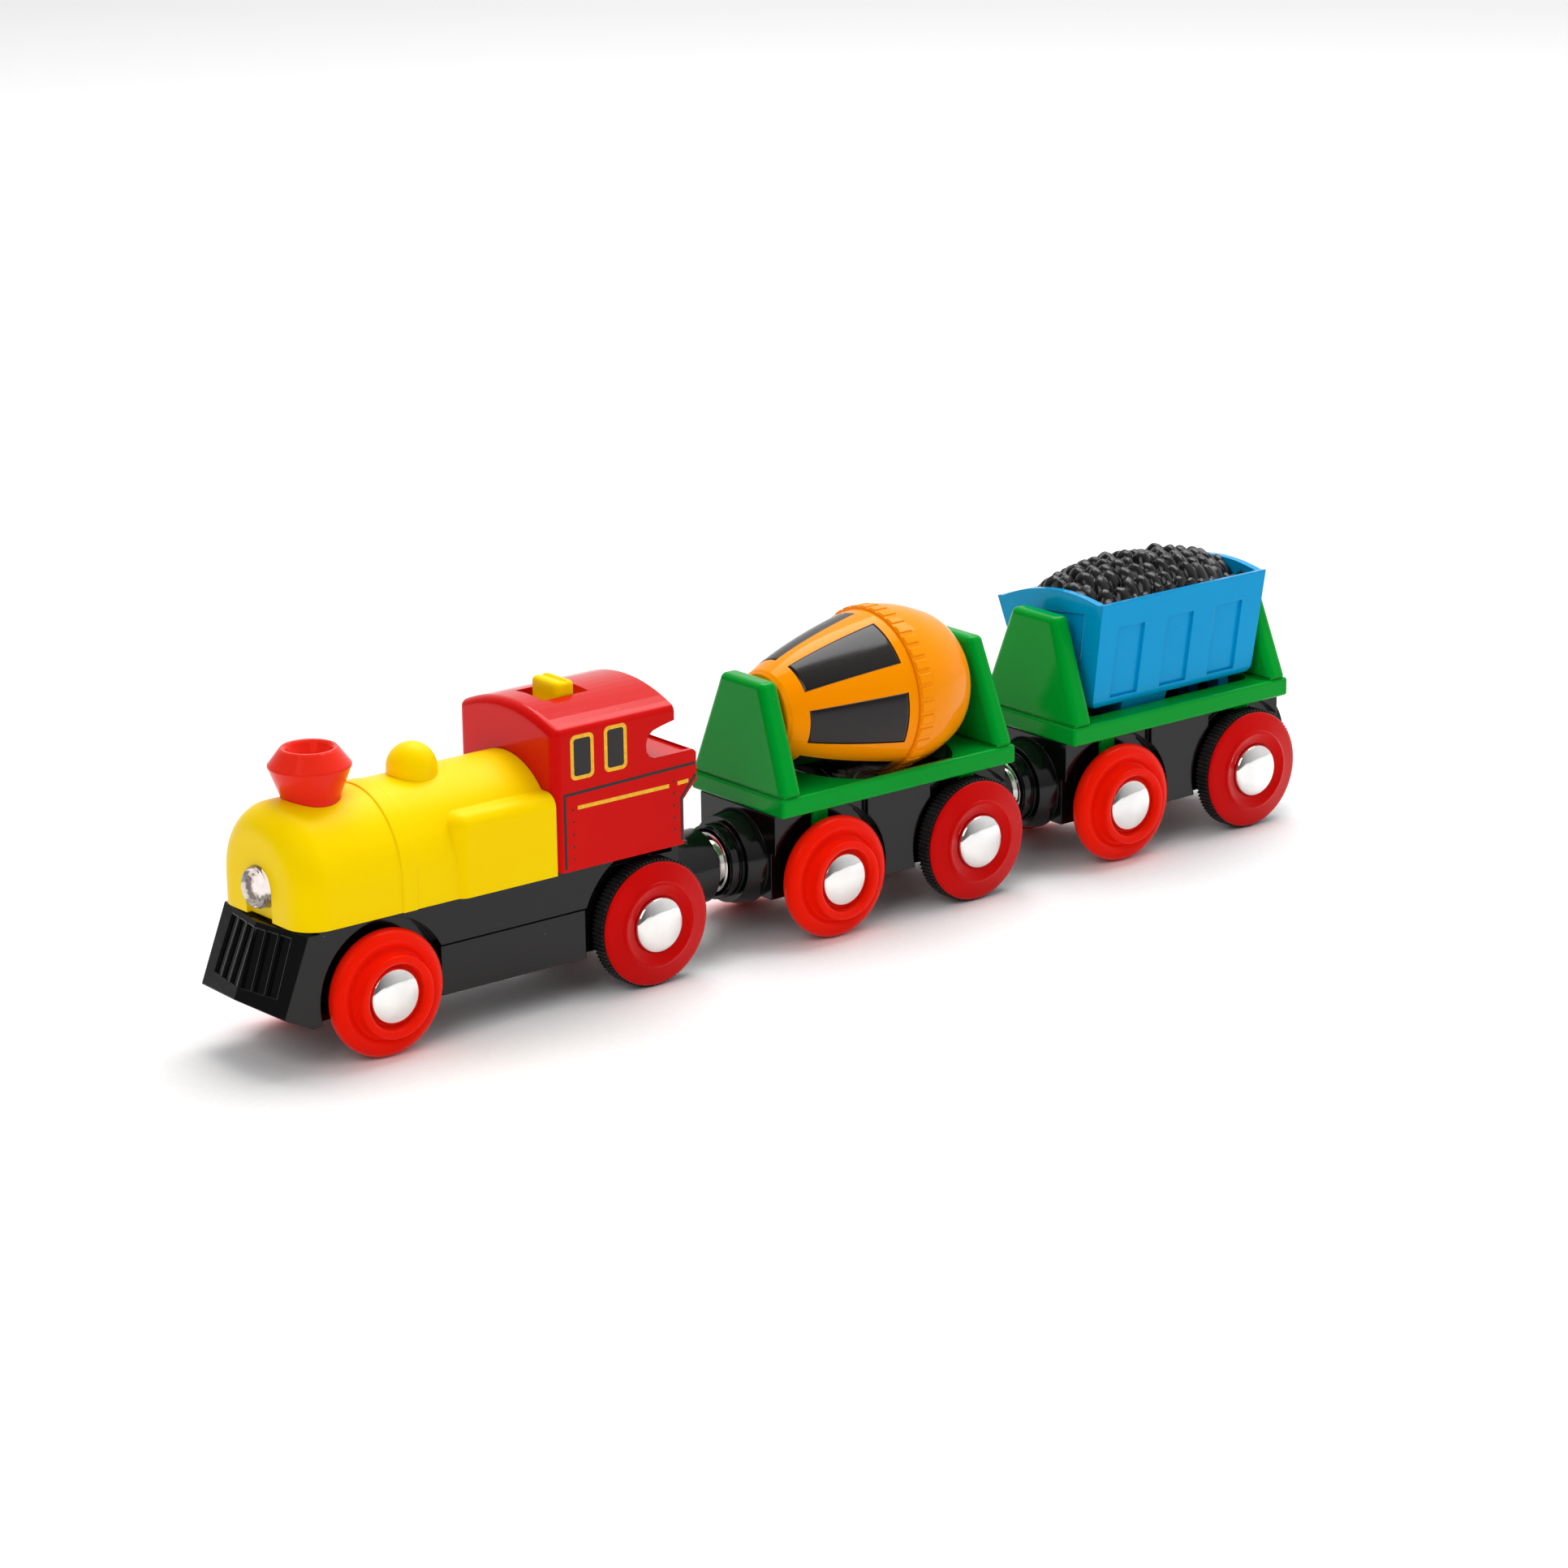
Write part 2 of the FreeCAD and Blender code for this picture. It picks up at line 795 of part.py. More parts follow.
def loco_cab():
    """Red cab: arched roof with lip, rear notch, bunker and the slot for the switch."""
    front = S["cabfront"]
    side = padded("CabSide", "XZ_Plane", cab_side(), 40)
    face = padded("CabFace", "YZ_Plane", cab_front_outline(0), 80)
    outer = overlap(side, face)
    rounded = soften(
        outer,
        1.3,
        lambda edge: edge.Length > 2
        and all(abs(point.z) > 47.0 for point in ends(edge))
        and (all_at(edge, "x", front) or all_at(edge, "y", S["cabhalf"])
             or all_at(edge, "y", -S["cabhalf"])),
    )
    corners = soften(
        rounded,
        1.6,
        lambda edge: all_at(edge, "x", front)
        and abs(edge.Vertexes[0].Point.y) > 13
        and edge.Length > 15,
    )
    wall = S["shellwall"]
    inside = overlap(
        join(
            [
                box(1.9, front - wall, -20, 20, 20, 60),
                box(-4.7, 2.0, -20, 20, 20, 38.2),
            ]
        ),
        padded("CabHollow", "YZ_Plane", cab_front_outline(1.6), 80),
    )
    slide = S["slidex"]
    tools = [
        inside,
        box(slide - 4.6, slide + 4.6, -4.05, 4.05, 45, 60),
        box(-8.7, -0.2, -12.6, 12.6, 39.3, 44),
        # opening in the front wall over the cell
        rod("X", 12.0, 0, 20.9, 7.5, 10.0),
    ]
    node("loco_cab", carve(corners, tools), S["locoshift"])


def loco_lamp():
    points = [
        (0, 66.9),
        (3.5, 66.9),
        (3.5, 69.9),
        (3.35, 70.35),
        (2.95, 70.8),
        (2.3, 71.15),
        (1.2, 71.45),
        (0, 71.55),
    ]
    lens = turned("Lens", points, "X")
    put(lens, "Placement.Base.z", S["lampz"])
    bore = rod("X", 66, 0, S["lampz"], 1.65, 2.2)
    node("loco_lens", carve(lens, [bore]), S["locoshift"])
    bulb = turned(
        "Bulb",
        [(0, 63.0), (1.8, 63.0), (1.8, 63.6), (1.5, 63.6), (1.5, 66.0), (1.2, 67.0),
         (0.6, 67.5), (0, 67.6)],
        "X",
    )
    put(bulb, "Placement.Base.z", S["lampz"])
    node("loco_bulb", bulb, S["locoshift"])


def loco_switch():
    """Slide switch: ridged knob on a base plate under the roof, and its contact below."""
    x = S["slidex"] - 0.3
    knob = box(x - 1.95, x + 1.95, -3.65, 3.65, 48.0, 52.9)
    knob = soften(
        knob,
        0.9,
        lambda edge: all_at(edge, "z", 52.9)
        or (edge.Length > 4 and abs(ends(edge)[0].z - ends(edge)[1].z) > 4),
    )
    valley = rod("Y", x, -5, 53.25, 0.75, 10)
    plate = box(x - 5.0, x + 5.0, -4.6, 4.6, 47.0, 48.1)
    node("loco_switch", carve(join([knob, plate]), [valley]), S["locoshift"])
    strip = join(
        [
            box(x - 3.5, x + 3.5, -1.5, 1.5, 46.3, 46.7),
            box(x - 0.6, x + 0.6, -1.5, 1.5, 46.6, 47.0),
        ]
    )
    node("loco_switch_contact", strip, S["locoshift"])
    board = carve(
        box(4.0, 17.6, -9.5, 9.5, 43.6, 45.0),
        [rod("Z", 6.0, 7.5, 40, 0.9, 8), rod("Z", 15.5, 7.5, 40, 0.9, 8)],
    )
    pads = join(
        [
            board,
            box(5.0, 7.6, -1.3, 1.3, 44.9, 46.2),
            box(13.0, 15.6, -1.3, 1.3, 44.9, 46.2),
        ]
    )
    node("loco_switch_board", pads, S["locoshift"])


def loco_power():
    """Cell, its two contacts, and the lamp board in the boiler."""
    z = 20.9
    cell = turned(
        "Cell",
        [(0, 13.6), (6.9, 13.6), (7.2, 13.9), (7.2, 61.9), (6.9, 62.3), (2.8, 62.3),
         (2.7, 63.6), (0, 63.7)],
        "X",
    )
    put(cell, "Placement.Base.z", z)
    node("loco_cell", cell, S["locoshift"])
    rear = join(
        [
            box(12.9, 13.3, -5.0, 5.0, 14.5, 26.5),
            rod("X", 13.2, 0, z, 2.0, 0.35),
            box(12.9, 13.3, -1.2, 1.2, 26.4, 31.0),
        ]
    )
    front = join(
        [
            box(66.2, 66.7, -5.0, 5.0, 14.5, 26.5),
            cone("X", 63.75, 0, z, 1.6, 3.6, 2.5),
        ]
    )
    node("loco_contacts", group([rear, front]), S["locoshift"])
    board = box(46.0, 63.0, -6.5, 6.5, 29.9, 31.1)
    legs = [box(47.0, 48.4, y - 0.5, y + 0.5, 31.0, 33.5) for y in (-4.0, 4.0)]
    node("loco_board", join([board, box(62.5, 63.0, -1.6, 1.6, 27.6, 30.0)] + legs),
         S["locoshift"])


def loco_motor():
    """Motor across the frame, pinion, idler with two gears, and the gear on the rear axle."""
    motor_x = S["motorx"]
    motor_z = S["motorz"]
    can = join(
        [
            rod("Y", motor_x, -1.0, motor_z, 6.0, 11.6),
            rod("Y", motor_x, -1.9, motor_z, 2.2, 1.0),
            rod("Y", motor_x, 10.5, motor_z, 2.2, 0.8),
        ]
    )
    sides = box(motor_x - 5.0, motor_x + 5.0, -3, 12, 20, 40)
    bore = rod("Y", motor_x, -4.0, motor_z, 0.56, 6.0)
    node("loco_motor", carve(overlap(can, sides), [bore]), S["locoshift"])

    pinion = toothed("Pinion", "XZ_Plane", 1.9, 2.85, 2.6, 10, 0.48, 0.14)
    pinion.Placement = FreeCAD.Placement(
        VECTOR(), FreeCAD.Rotation(VECTOR(0, 1, 0), 12.55)
    )
    place(pinion, motor_x, -6.0, motor_z)
    shaft = rod("Y", motor_x, -7.6, motor_z, 0.5, 9.4)
    node("loco_pinion", join([pinion, shaft]), S["locoshift"])

    large = toothed("IdlerLarge", "XZ_Plane", 6.42, 7.35, 2.4, 28, 0.5, 0.17)
    place(large, 0, -6.0, 0)
    small = toothed("IdlerSmall", "XZ_Plane", 2.4, 3.35, 2.6, 12, 0.48, 0.15)
    place(small, 0, -2.9, 0)
    sleeve = rod("Y", 0, -7.5, 0, 1.6, 7.2)
    bore = rod("Y", 0, -9, 0, 0.79, 12)
    idler = carve(join([large, small, sleeve]), [bore])
    put(idler, "Placement.Base.z", S["idlerz"])
    node("loco_idler", idler, S["locoshift"] + S["idlerx"])
    pin = rod("Y", 0, -8.6, S["idlerz"], 0.75, 17.2)
    node("loco_idler_pin", pin, S["locoshift"] + S["idlerx"])

    wheel = toothed("AxleGear", "XZ_Plane", 5.92, 6.85, 2.4, 26, 0.5, 0.17)
    collar = rod("Y", 0, -1.8, 0, 2.6, 3.6)
    bore = rod("Y", 0, -9, 0, S["axleradius"], 20)
    gear = carve(join([wheel, collar]), [bore])
    gear.Placement = FreeCAD.Placement(VECTOR(), FreeCAD.Rotation(VECTOR(0, 1, 0), -4.9))
    put(gear, "Placement.Base.y", -2.9)
    put(gear, "Placement.Base.z", S["driveaxlez"])
    node("loco_axle_gear", gear, S["locoshift"])


def screw(x, z_head, length):
    """Cross-headed screw seen from below."""
    head = rod("Z", x, 0, z_head, 2.0, 1.2)
    cross = [
        box(x - 1.3, x + 1.3, -0.25, 0.25, z_head - 0.1, z_head + 0.6),
        box(x - 0.25, x + 0.25, -1.3, 1.3, z_head - 0.1, z_head + 0.6),
    ]
    return carve(join([head, rod("Z", x, 0, z_head + 1.0, 1.1, length)]), cross)


# ---------------------------------------------------------------- wagons


def wagon_frame():
    """Black lower frame of a wagon with wheel wells and a coupling boss at each end."""
    half = S["boxhalf"]
    low = S["boxbottom"]
    top = S["deckbottom"]
    base = S["wagonbase"]
    boss = S["bossradius"]
    z = S["couplerz"]
    solid = join(
        [
            box(-S["deckrear"] + 0.4, S["deckfront"] - 0.2, -half, half, low, top),
            rod("X", 9.0, 0, z, boss, S["bossfront"] - 9.0),
            rod("X", -S["bossrear"], 0, z, boss, 7.0),
            cone("X", 10.9, 0, z, 8.4, 7.6, 4.2),
            cone("X", -44.2, 0, z, 7.6, 8.4, 3.6),
            box(-S["wagonbase"] + 8.6, -8.6, -half - 0.9, half + 0.9, low, top),
        ]
    )
    groove = carve(
        rod("X", S["bossfront"] - 2.2, 0, z, 9.0, 0.7),
        [rod("X", S["bossfront"] - 3, 0, z, 6.1, 3.0)],
    )
    tools = [
        groove,
        # open bay for the drive, closed by the deck, and the slot under the rear axle
        box(-37.2, 8.2, -8.0, 8.0, low + 1.4, top + 1),
        box(-base - 7.2, -base + 7.2, -7.4, 7.4, 0, 15.0),
        rod("Y", 0, -20, S["freeaxlez"], S["axleradius"] + 0.06, 40),
        rod("Y", -base, -20, S["driveaxlez"], S["axleradius"] + 0.06, 40),
        rod("Y", -S["rollerx"], -9.25, S["rollerz"], 0.76, 18.5),
    ]
    for y in (-20, 9.1):
        tools.append(rod("Y", 0, y, S["freeaxlez"], S["wellradius"], 10.9))
        tools.append(rod("Y", -base, y, S["driveaxlez"], S["wellradius"], 10.9))
    for x in (-0.6, -33.7):
        for y in (-half - 0.1, half - 0.75):
            tools.append(box(x, x + 3.6, y, y + 0.85, 16.4, top + 1))
    tools += socket_tools(S["bossfront"], 1, 4.5)
    tools += socket_tools(-S["bossrear"], -1, 4.5)
    return carve(solid, tools)


def post(x0, x1, lean):
    """End post: tapered upright with a shadow line round its foot."""
    half = S["deckhalf"]
    deck = S["decktop"]
    foot = deck + 0.5
    blade = frustum((x0, x1, half), (x0 + lean[0], x1 + lean[1], 5.6), foot, S["posttop"])
    blade = soften(blade, 1.25, lambda edge: not all_at(edge, "z", foot))
    neck = box(x0 + 0.4, x1 - 0.4, 0.5 - half, half - 0.5, deck - 0.2, foot + 0.2)
    return join([blade, neck])


def wagon_deck(opening, hole_z):
    """Green deck plate with a post at each end, pivot holes and four clip tabs."""
    half = S["deckhalf"]
    low = S["deckbottom"]
    top = S["decktop"]
    front = S["deckfront"]
    rear = S["deckrear"]
    plate = box(-rear, front, -half, half, low, top)
    plate = soften(plate, 0.6, lambda edge: True)
    clips = []
    for x in (-0.4, -33.5):
        for y in (-10.25, 9.6):
            clips.append(box(x, x + 3.2, y, y + 0.65, 16.8, low + 0.5))
    solid = join(
        [
            plate,
            post(6.95, 11.3, (-0.5, -0.9)),
            post(-rear + 0.5, -rear + 4.4, (0.9, 0.5)),
        ]
        + clips
    )
    tools = [
        opening,
        rod("X", 4.0, 0, hole_z, 1.5, 5.2),
        rod("X", -39.4, 0, hole_z, 1.5, 6.0),
    ]
    return carve(solid, tools)


def wagon(prefix, pieces, frame, opening, shift, hole_z):
    """Everything the two wagons have in common."""
    node(prefix + "_frame", group([frame]), shift)
    node(prefix + "_deck", wagon_deck(opening, hole_z), shift)
    wheelset(prefix, pieces, 0, -S["wagonbase"], shift)
    magnet_node(prefix + "_magnet_front", S["bossfront"] - 3.7, True, shift)
    magnet_node(prefix + "_magnet_rear", -S["bossrear"] + 3.7, False, shift)


def mixer_opening():
    """Round hole in the mixer's deck with two flat sides."""
    return overlap(rod("Z", -17.3, 0, 15, 15.3, 20), box(-40, 10, -11.7, 11.7, 15, 35))


def tipper_opening():
    """Long hole in the tipper's deck that the rocking bucket dips into."""
    hole = box(-36.2, 5.6, -8.5, 8.5, 15, 35)
    return soften(hole, 3.0, lambda edge: edge.Length > 19 and near_upright(edge))


def near_upright(edge):
    start, stop = ends(edge)
    return abs(start.x - stop.x) + abs(start.y - stop.y) < 0.01


def mixer_dish():
    """Glossy tray under the drum: a smooth trough in the deck opening with a slot for the roller."""
    upper = overlap(
        rod("Z", -17.3, 0, S["deckbottom"] + 0.1, 15.0, 3.2), box(-40, 10, -11.4, 11.4, 15, 35)
    )
    lower = overlap(
        rod("Z", -17.3, 0, 21.0, 15.0, 2.4), box(-40, 10, -7.8, 7.8, 15, 35)
    )
    trough = rod("X", -40.0, 0, S["drumz"], S["drumradius"] + 1.2, 50.0)
    mouth = box(-27.2, -12.6, -7.6, 7.6, 15, 30)
    return carve(join([upper, lower]), [trough, mouth])


def egg_radius(x):
    """Radius of the egg outline at x; the outline closes at its pointed front end."""
    reach = (x + num(S["ringx"]) + 3.0) / num(S["drumlength"])
    return num(S["drumradius"]) * math.sqrt(1 - max(0.0, reach) ** 1.168)


def mixer_drum():
    """Two shells of the egg shaped drum, joined behind the toothed ring, on two pins."""
    z = S["drumz"]
    wide = S["drumradius"]
    seam = -S["ringx"]
    count = 14
    outside = []
    inside = []
    for index in range(count + 1):
        x = num(seam) + (2.6 - num(seam)) * index / count
        outside.append((egg_radius(x), x))
        inside.append((egg_radius(x + 0.7) - 1.6, x))
    front = [(5.0, seam), (outside[0][0], seam)] + outside[1:]
    front += [
        (8.15, 3.6),
        (7.95, 5.2),
        (7.6, 5.7),
        (1.56, 5.7),
        (1.56, 4.4),
        (6.2, 4.4),
    ]
    front += inside[:0:-1]
    front += [(inside[1][0], seam + 1.4), (5.0, seam + 1.4)]
    rear = [
        (5.0, seam - 1.5),
        (wide - 2.0, seam - 1.5),
        (wide - 1.9, seam - 6.0),
        (wide - 3.5, seam - 10.0),
        (wide - 6.3, seam - 13.6),
        (5.5, -34.3),
        (1.56, -34.3),
        (1.56, -35.5),
        (5.4, -35.5),
        (7.5, -34.8),
        (9.9, -33.35),
        (11.8, -31.1),
        (13.3, -27.9),
        (14.15, -25.0),
        (wide - 0.2, seam - 4.6),
        (wide - 0.05, seam - 2.9),
        (wide - 0.1, seam - 0.05),
        (5.0, seam - 0.05),
    ]
    shell = turned("DrumFront", front, "X")
    put(shell, "Placement.Base.z", z)
    node("mixer_drum_front", shell, S["mixershift"])
    dome = turned("DrumRear", rear, "X")
    ring = toothed("DrumRing", "YZ_Plane", wide - 0.15, wide + 0.2, 2.8, 38, 0.85, 0.68)
    place(ring, seam - 1.6, 0, 0)
    hollow = rod("X", seam - 8, 0, 0, wide - 0.6, 12)
    whole = join([dome, carve(ring, [hollow])])
    put(whole, "Placement.Base.z", z)
    node("mixer_drum_rear", whole, S["mixershift"])
    pins = group(
        [
            rod("X", 4.6, 0, z, 1.5, 4.6),
            rod("X", -39.4, 0, z, 1.5, 4.9),
        ]
    )
    node("mixer_pins", pins, S["mixershift"])


def thread(radius, depth, lead, starts, half):
    """Threaded cylinder along +Z: right-handed ridges with flat crests, cut square at the ends."""
    root = radius - depth
    helix = Part.Wire(Part.makeHelix(lead, half * 2 + 1, root))
    corners = [
        VECTOR(root - 0.3, 0, -0.62),
        VECTOR(radius, 0, -0.3),
        VECTOR(radius, 0, 0.3),
        VECTOR(root - 0.3, 0, 0.62),
    ]
    profile = Part.makePolygon(corners + corners[:1])
    ridge = helix.makePipeShell([profile], True, True)
    whole = Part.makeCylinder(root, half * 2 + 1)
    for index in range(starts):
        turned_ridge = ridge.copy()
        turned_ridge.rotate(VECTOR(), VECTOR(0, 0, 1), 360.0 * index / starts)
        whole = whole.fuse(turned_ridge)
    whole.translate(VECTOR(0, 0, -half - 0.5))
    return whole.common(Part.makeCylinder(radius + 1, half * 2, VECTOR(0, 0, -half)))


def mixer_drive():
    """Gear on the rear axle and the threaded roller that turns the drum by its ring."""
    reach = S["wagonbase"]
    gear = toothed("MixerGear", "XZ_Plane", 5.8, 6.78, 2.2, 26, 0.52, 0.18)
    place(gear, 0, -5.8, 0)
    bore = rod("Y", 0, -9, 0, S["axleradius"], 20)
    whole = carve(join([gear, rod("Y", 0, -7.4, 0, 2.6, 3.4)]), [bore])
    put(whole, "Placement.Base.z", S["driveaxlez"])
    node("mixer_axle_gear", whole, S["mixershift"] - reach)

    ridges = DOC.addObject("Part::Feature", "Thread")
    ridges.Shape = thread(S["rollerradius"].number, 0.9, 9.89, 4, 3.4)
    ridges.Placement = FreeCAD.Placement(
        VECTOR(0, 0.6, 0), FreeCAD.Rotation(VECTOR(1, 0, 0), -90)
    )
    wheel = toothed("RollerGear", "XZ_Plane", 5.8, 6.78, 2.2, 26, 0.52, 0.18)
    place(wheel, 0, -5.8, 0)
    bore = rod("Y", 0, -9, 0, 0.79, 20)
    roller = carve(join([ridges, wheel, rod("Y", 0, -7.2, 0, 2.2, 5.0)]), [bore])
    roller.Placement = FreeCAD.Placement(
        VECTOR(), FreeCAD.Rotation(VECTOR(0, 1, 0), num(S["rollerturn"]))
    )
    put(roller, "Placement.Base.z", S["rollerz"])
    node("mixer_roller", roller, S["mixershift"] - S["rollerx"])
    pin = rod("Y", 0, -9.2, S["rollerz"], 0.75, 18.4)
    node("mixer_roller_pin", pin, S["mixershift"] - S["rollerx"])


# ---------------------------------------------------------------- tipper


def tilt(thing):
    """Leans a piece of the bucket about the pivot line, left side up."""
    angle = num(S["tiltdegrees"])
    turn = FreeCAD.Rotation(VECTOR(1, 0, 0), angle)
    pivot = VECTOR(0, 0, num(S["pivotz"]))
    base = pivot - turn.multVec(pivot)
    thing.Placement = FreeCAD.Placement(base, turn)
    return thing


def bucket_half(z):
    """Half width of the bucket's flared outside at a height."""
    share = (num(z) - num(S["bucketfloor"])) / (num(S["bucketrim"]) - num(S["bucketfloor"]))
    return num(S["floorhalf"]) + share * (num(S["rimhalf"]) - num(S["floorhalf"]))


def bucket_lean(z):
    """How far the end walls stand in from their place at the rim, at a height."""
    share = (num(S["bucketrim"]) - num(z)) / (num(S["bucketrim"]) - num(S["bucketfloor"]))
    return num(S["endlean"]) * share


def bucket_block(inset, low, high):
    """Flared block of the bucket, shrunk by a wall thickness."""
    front = S["bucketfront"] - inset
    rear = -S["bucketrear"] + inset
    base = (rear + bucket_lean(low), front - bucket_lean(low), bucket_half(low) - inset)
    top = (rear + bucket_lean(high), front - bucket_lean(high), bucket_half(high) - inset)
    return frustum(base, top, low, high)


def tipper_bucket():
    """Blue bucket with arched end walls, recessed panels and a rocker foot."""
    low = S["bucketfloor"]
    block = soften(
        bucket_block(0, low, 49.4),
        1.8,
        lambda edge: all_at(edge, "z", low),
    )
    sides = padded("BucketArch", "YZ_Plane", bucket_arch(), 120)
    outer = overlap(block, sides)
    inner = bucket_block(1.4, low + 1.5, 52.0)
    foot = frustum((-15.0, -4.2, 6.2), (-15.0, -4.2, 8.0), 24.2, low + 1.4)
    pads = box(-31.9, -29.5, -5.6, 5.6, 18.0, low + 0.4)
    pads = carve(pads, [box(-34, -29, -2.6, 2.6, 15, low - 1.2)])
    solid = join([outer, foot, pads])
    tools = [inner]
    for start, stop in ((-6.2, 0.3), (-18.1, -11.7), (-30.1, -23.5)):
        for side in (1, -1):
            tools.append(panel_tool(start, stop, side))
    tools += [end_panel(S["bucketfront"], 1), end_panel(-S["bucketrear"], -1)]
    tools.append(rod("X", -40, 0, S["pivotz"], 1.56, 50))
    bucket = carve(solid, tools)
    node("tipper_bucket", bucket)
    tilt(bucket)
    put(bucket, "Placement.Base.x", S["tippershift"])


def bucket_arch():
    """Outline that limits the rim: level sides with a crown over the end walls."""
    rim = S["bucketrim"]
    span = num(S["rimhalf"]) - 1.4
    points = [(-20.0, 15.0), (-20.0, rim), (-span, rim)]
    for index in range(1, 14):
        share = -1 + index / 7
        points.append((span * share, rim + S["bucketrise"] * (1 - share * share)))
    points += [(span, rim), (20.0, rim), (20.0, 15.0)]
    return points


def panel_tool(start, stop, side):
    """A slab that sinks a panel half a millimetre into the flared side wall."""
    low = 28.6
    high = 41.6
    at_low = bucket_half(low) - 0.55
    at_high = bucket_half(high) - 0.55
    points = [
        (at_low, low),
        (at_high, high),
        (at_high + 3, high),
        (at_low + 3, low),
    ]
    body = padded("PanelTool", "YZ_Plane", [(p[0] * side, p[1]) for p in points], stop - start)
    return place(body, (start + stop) / 2, 0, 0)


def end_panel(x, side):
    """A slab that sinks a shallow panel into the outside of an end wall."""
    low = 29.0
    high = 44.6
    depth = 0.35
    points = [
        (4.6 - bucket_half(low), low),
        (bucket_half(low) - 4.6, low),
        (bucket_half(high) - 4.6, high),
        (4.6 - bucket_half(high), high),
    ]
    body = padded("EndPanel", "YZ_Plane", points, 2.0)
    return place(body, x + side * (1.0 - depth - num(S["endlean"]) / 2), 0, 0)


def tipper_load():
    """Heap of coal lumps moulded as one piece that fills the bucket."""
    base = bucket_block(1.52, S["bucketfloor"] + 1.62, 45.0)
    vault = overlap(
        rod("Y", -15.2, -20, 28.9, 23.3, 40),
        rod("X", -40, 0, 38.6, 13.6, 50),
    )
    lumps = [base, overlap(vault, box(-33.3, 2.9, -12.0, 12.0, 44.0, 60))]
    for row in (-2, -1, 0, 1, 2):
        for column in range(7):
            across = row * 4.3
            along = (column - 3) * 4.9 + (row % 2) * 2.0 - 16.2
            lengthways = 28.9 + math.sqrt(23.3 ** 2 - (along + 15.2) ** 2)
            sideways = 38.6 + math.sqrt(13.6 ** 2 - across ** 2)
            height = min(lengthways, sideways)
            if height > 45.5:
                lumps.append(ball(along, across, height - 1.1, 2.0))
    load = join(lumps)
    load = carve(load, [rod("X", -40, 0, S["pivotz"], 1.56, 50)])
    node("tipper_load", load)
    tilt(load)
    put(load, "Placement.Base.x", S["tippershift"])


def tipper_drive():
    """Pivot pins, and the pair of opposed cams on the rear axle that rock the bucket."""
    z = S["pivotz"]
    pins = group([rod("X", 1.5, 0, z, 1.5, 7.6), rod("X", -39.4, 0, z, 1.5, 6.6)])
    node("tipper_pins", pins, S["tippershift"])
    base = S["wagonbase"]
    cams = join(
        [
            rod("Y", 0.65, 3.6, 0, 4.9, 3.0),
            rod("Y", -0.65, -6.6, 0, 4.9, 3.0),
            rod("Y", 0, -6.6, 0, 2.6, 13.2),
        ]
    )
    whole = carve(cams, [rod("Y", 0, -20, 0, S["axleradius"], 40)])
    put(whole, "Placement.Base.z", S["driveaxlez"])
    node("tipper_cams", whole, S["tippershift"] - base)


def build():
    pieces = running_gear()
    frame = wagon_frame()
    loco_frame()
    loco_cover()
    loco_boiler()
    loco_chimney()
    loco_cab()
    loco_lamp()
    loco_switch()
    loco_power()
    loco_motor()
    node("loco_screw", screw(60.5, num(S["framebottom"]) - 0.1, 4.0), S["locoshift"])
    wheelset("loco", pieces, S["locowheelbase"], 0, S["locoshift"])
    magnet_node("loco_magnet", -S["locoboss"] + 3.7, False, S["locoshift"])
    wagon("mixer", pieces, frame, mixer_opening(), S["mixershift"], S["drumz"])
    node("mixer_dish", mixer_dish(), S["mixershift"])
    mixer_drum()
    mixer_drive()
    wagon("tipper", pieces, frame, tipper_opening(), S["tippershift"], S["pivotz"])
    tipper_bucket()
    tipper_load()
    tipper_drive()
    DOC.recompute()


def export():
    os.makedirs("parts", exist_ok=True)
    faults = []
    for thing in DOC.Objects:
        if "Invalid" in thing.State or "Error" in thing.State:
            faults.append(thing.Label + " " + str(thing.State))
    for name, thing in NODES:
        shape = thing.Shape
        if shape.isNull() or not shape.isValid():
            faults.append(name + " has a bad shape")
            continue
        shape.exportStep(os.path.join("parts", name + ".step"))
        bounds = shape.BoundBox
        print(
            "%-22s solids %d vol %8.1f  x %7.2f %7.2f  y %7.2f %7.2f  z %6.2f %6.2f"
            % (name, len(shape.Solids), shape.Volume, bounds.XMin, bounds.XMax,
               bounds.YMin, bounds.YMax, bounds.ZMin, bounds.ZMax)
        )
    print(len(NODES), "nodes")
    if faults:
        raise RuntimeError("; ".join(faults))


build()
export()
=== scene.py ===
"""Toy train on a white studio floor: materials, print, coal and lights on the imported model."""

import json
import math
import random

import bmesh
import bpy
from mathutils import Matrix, Vector, noise

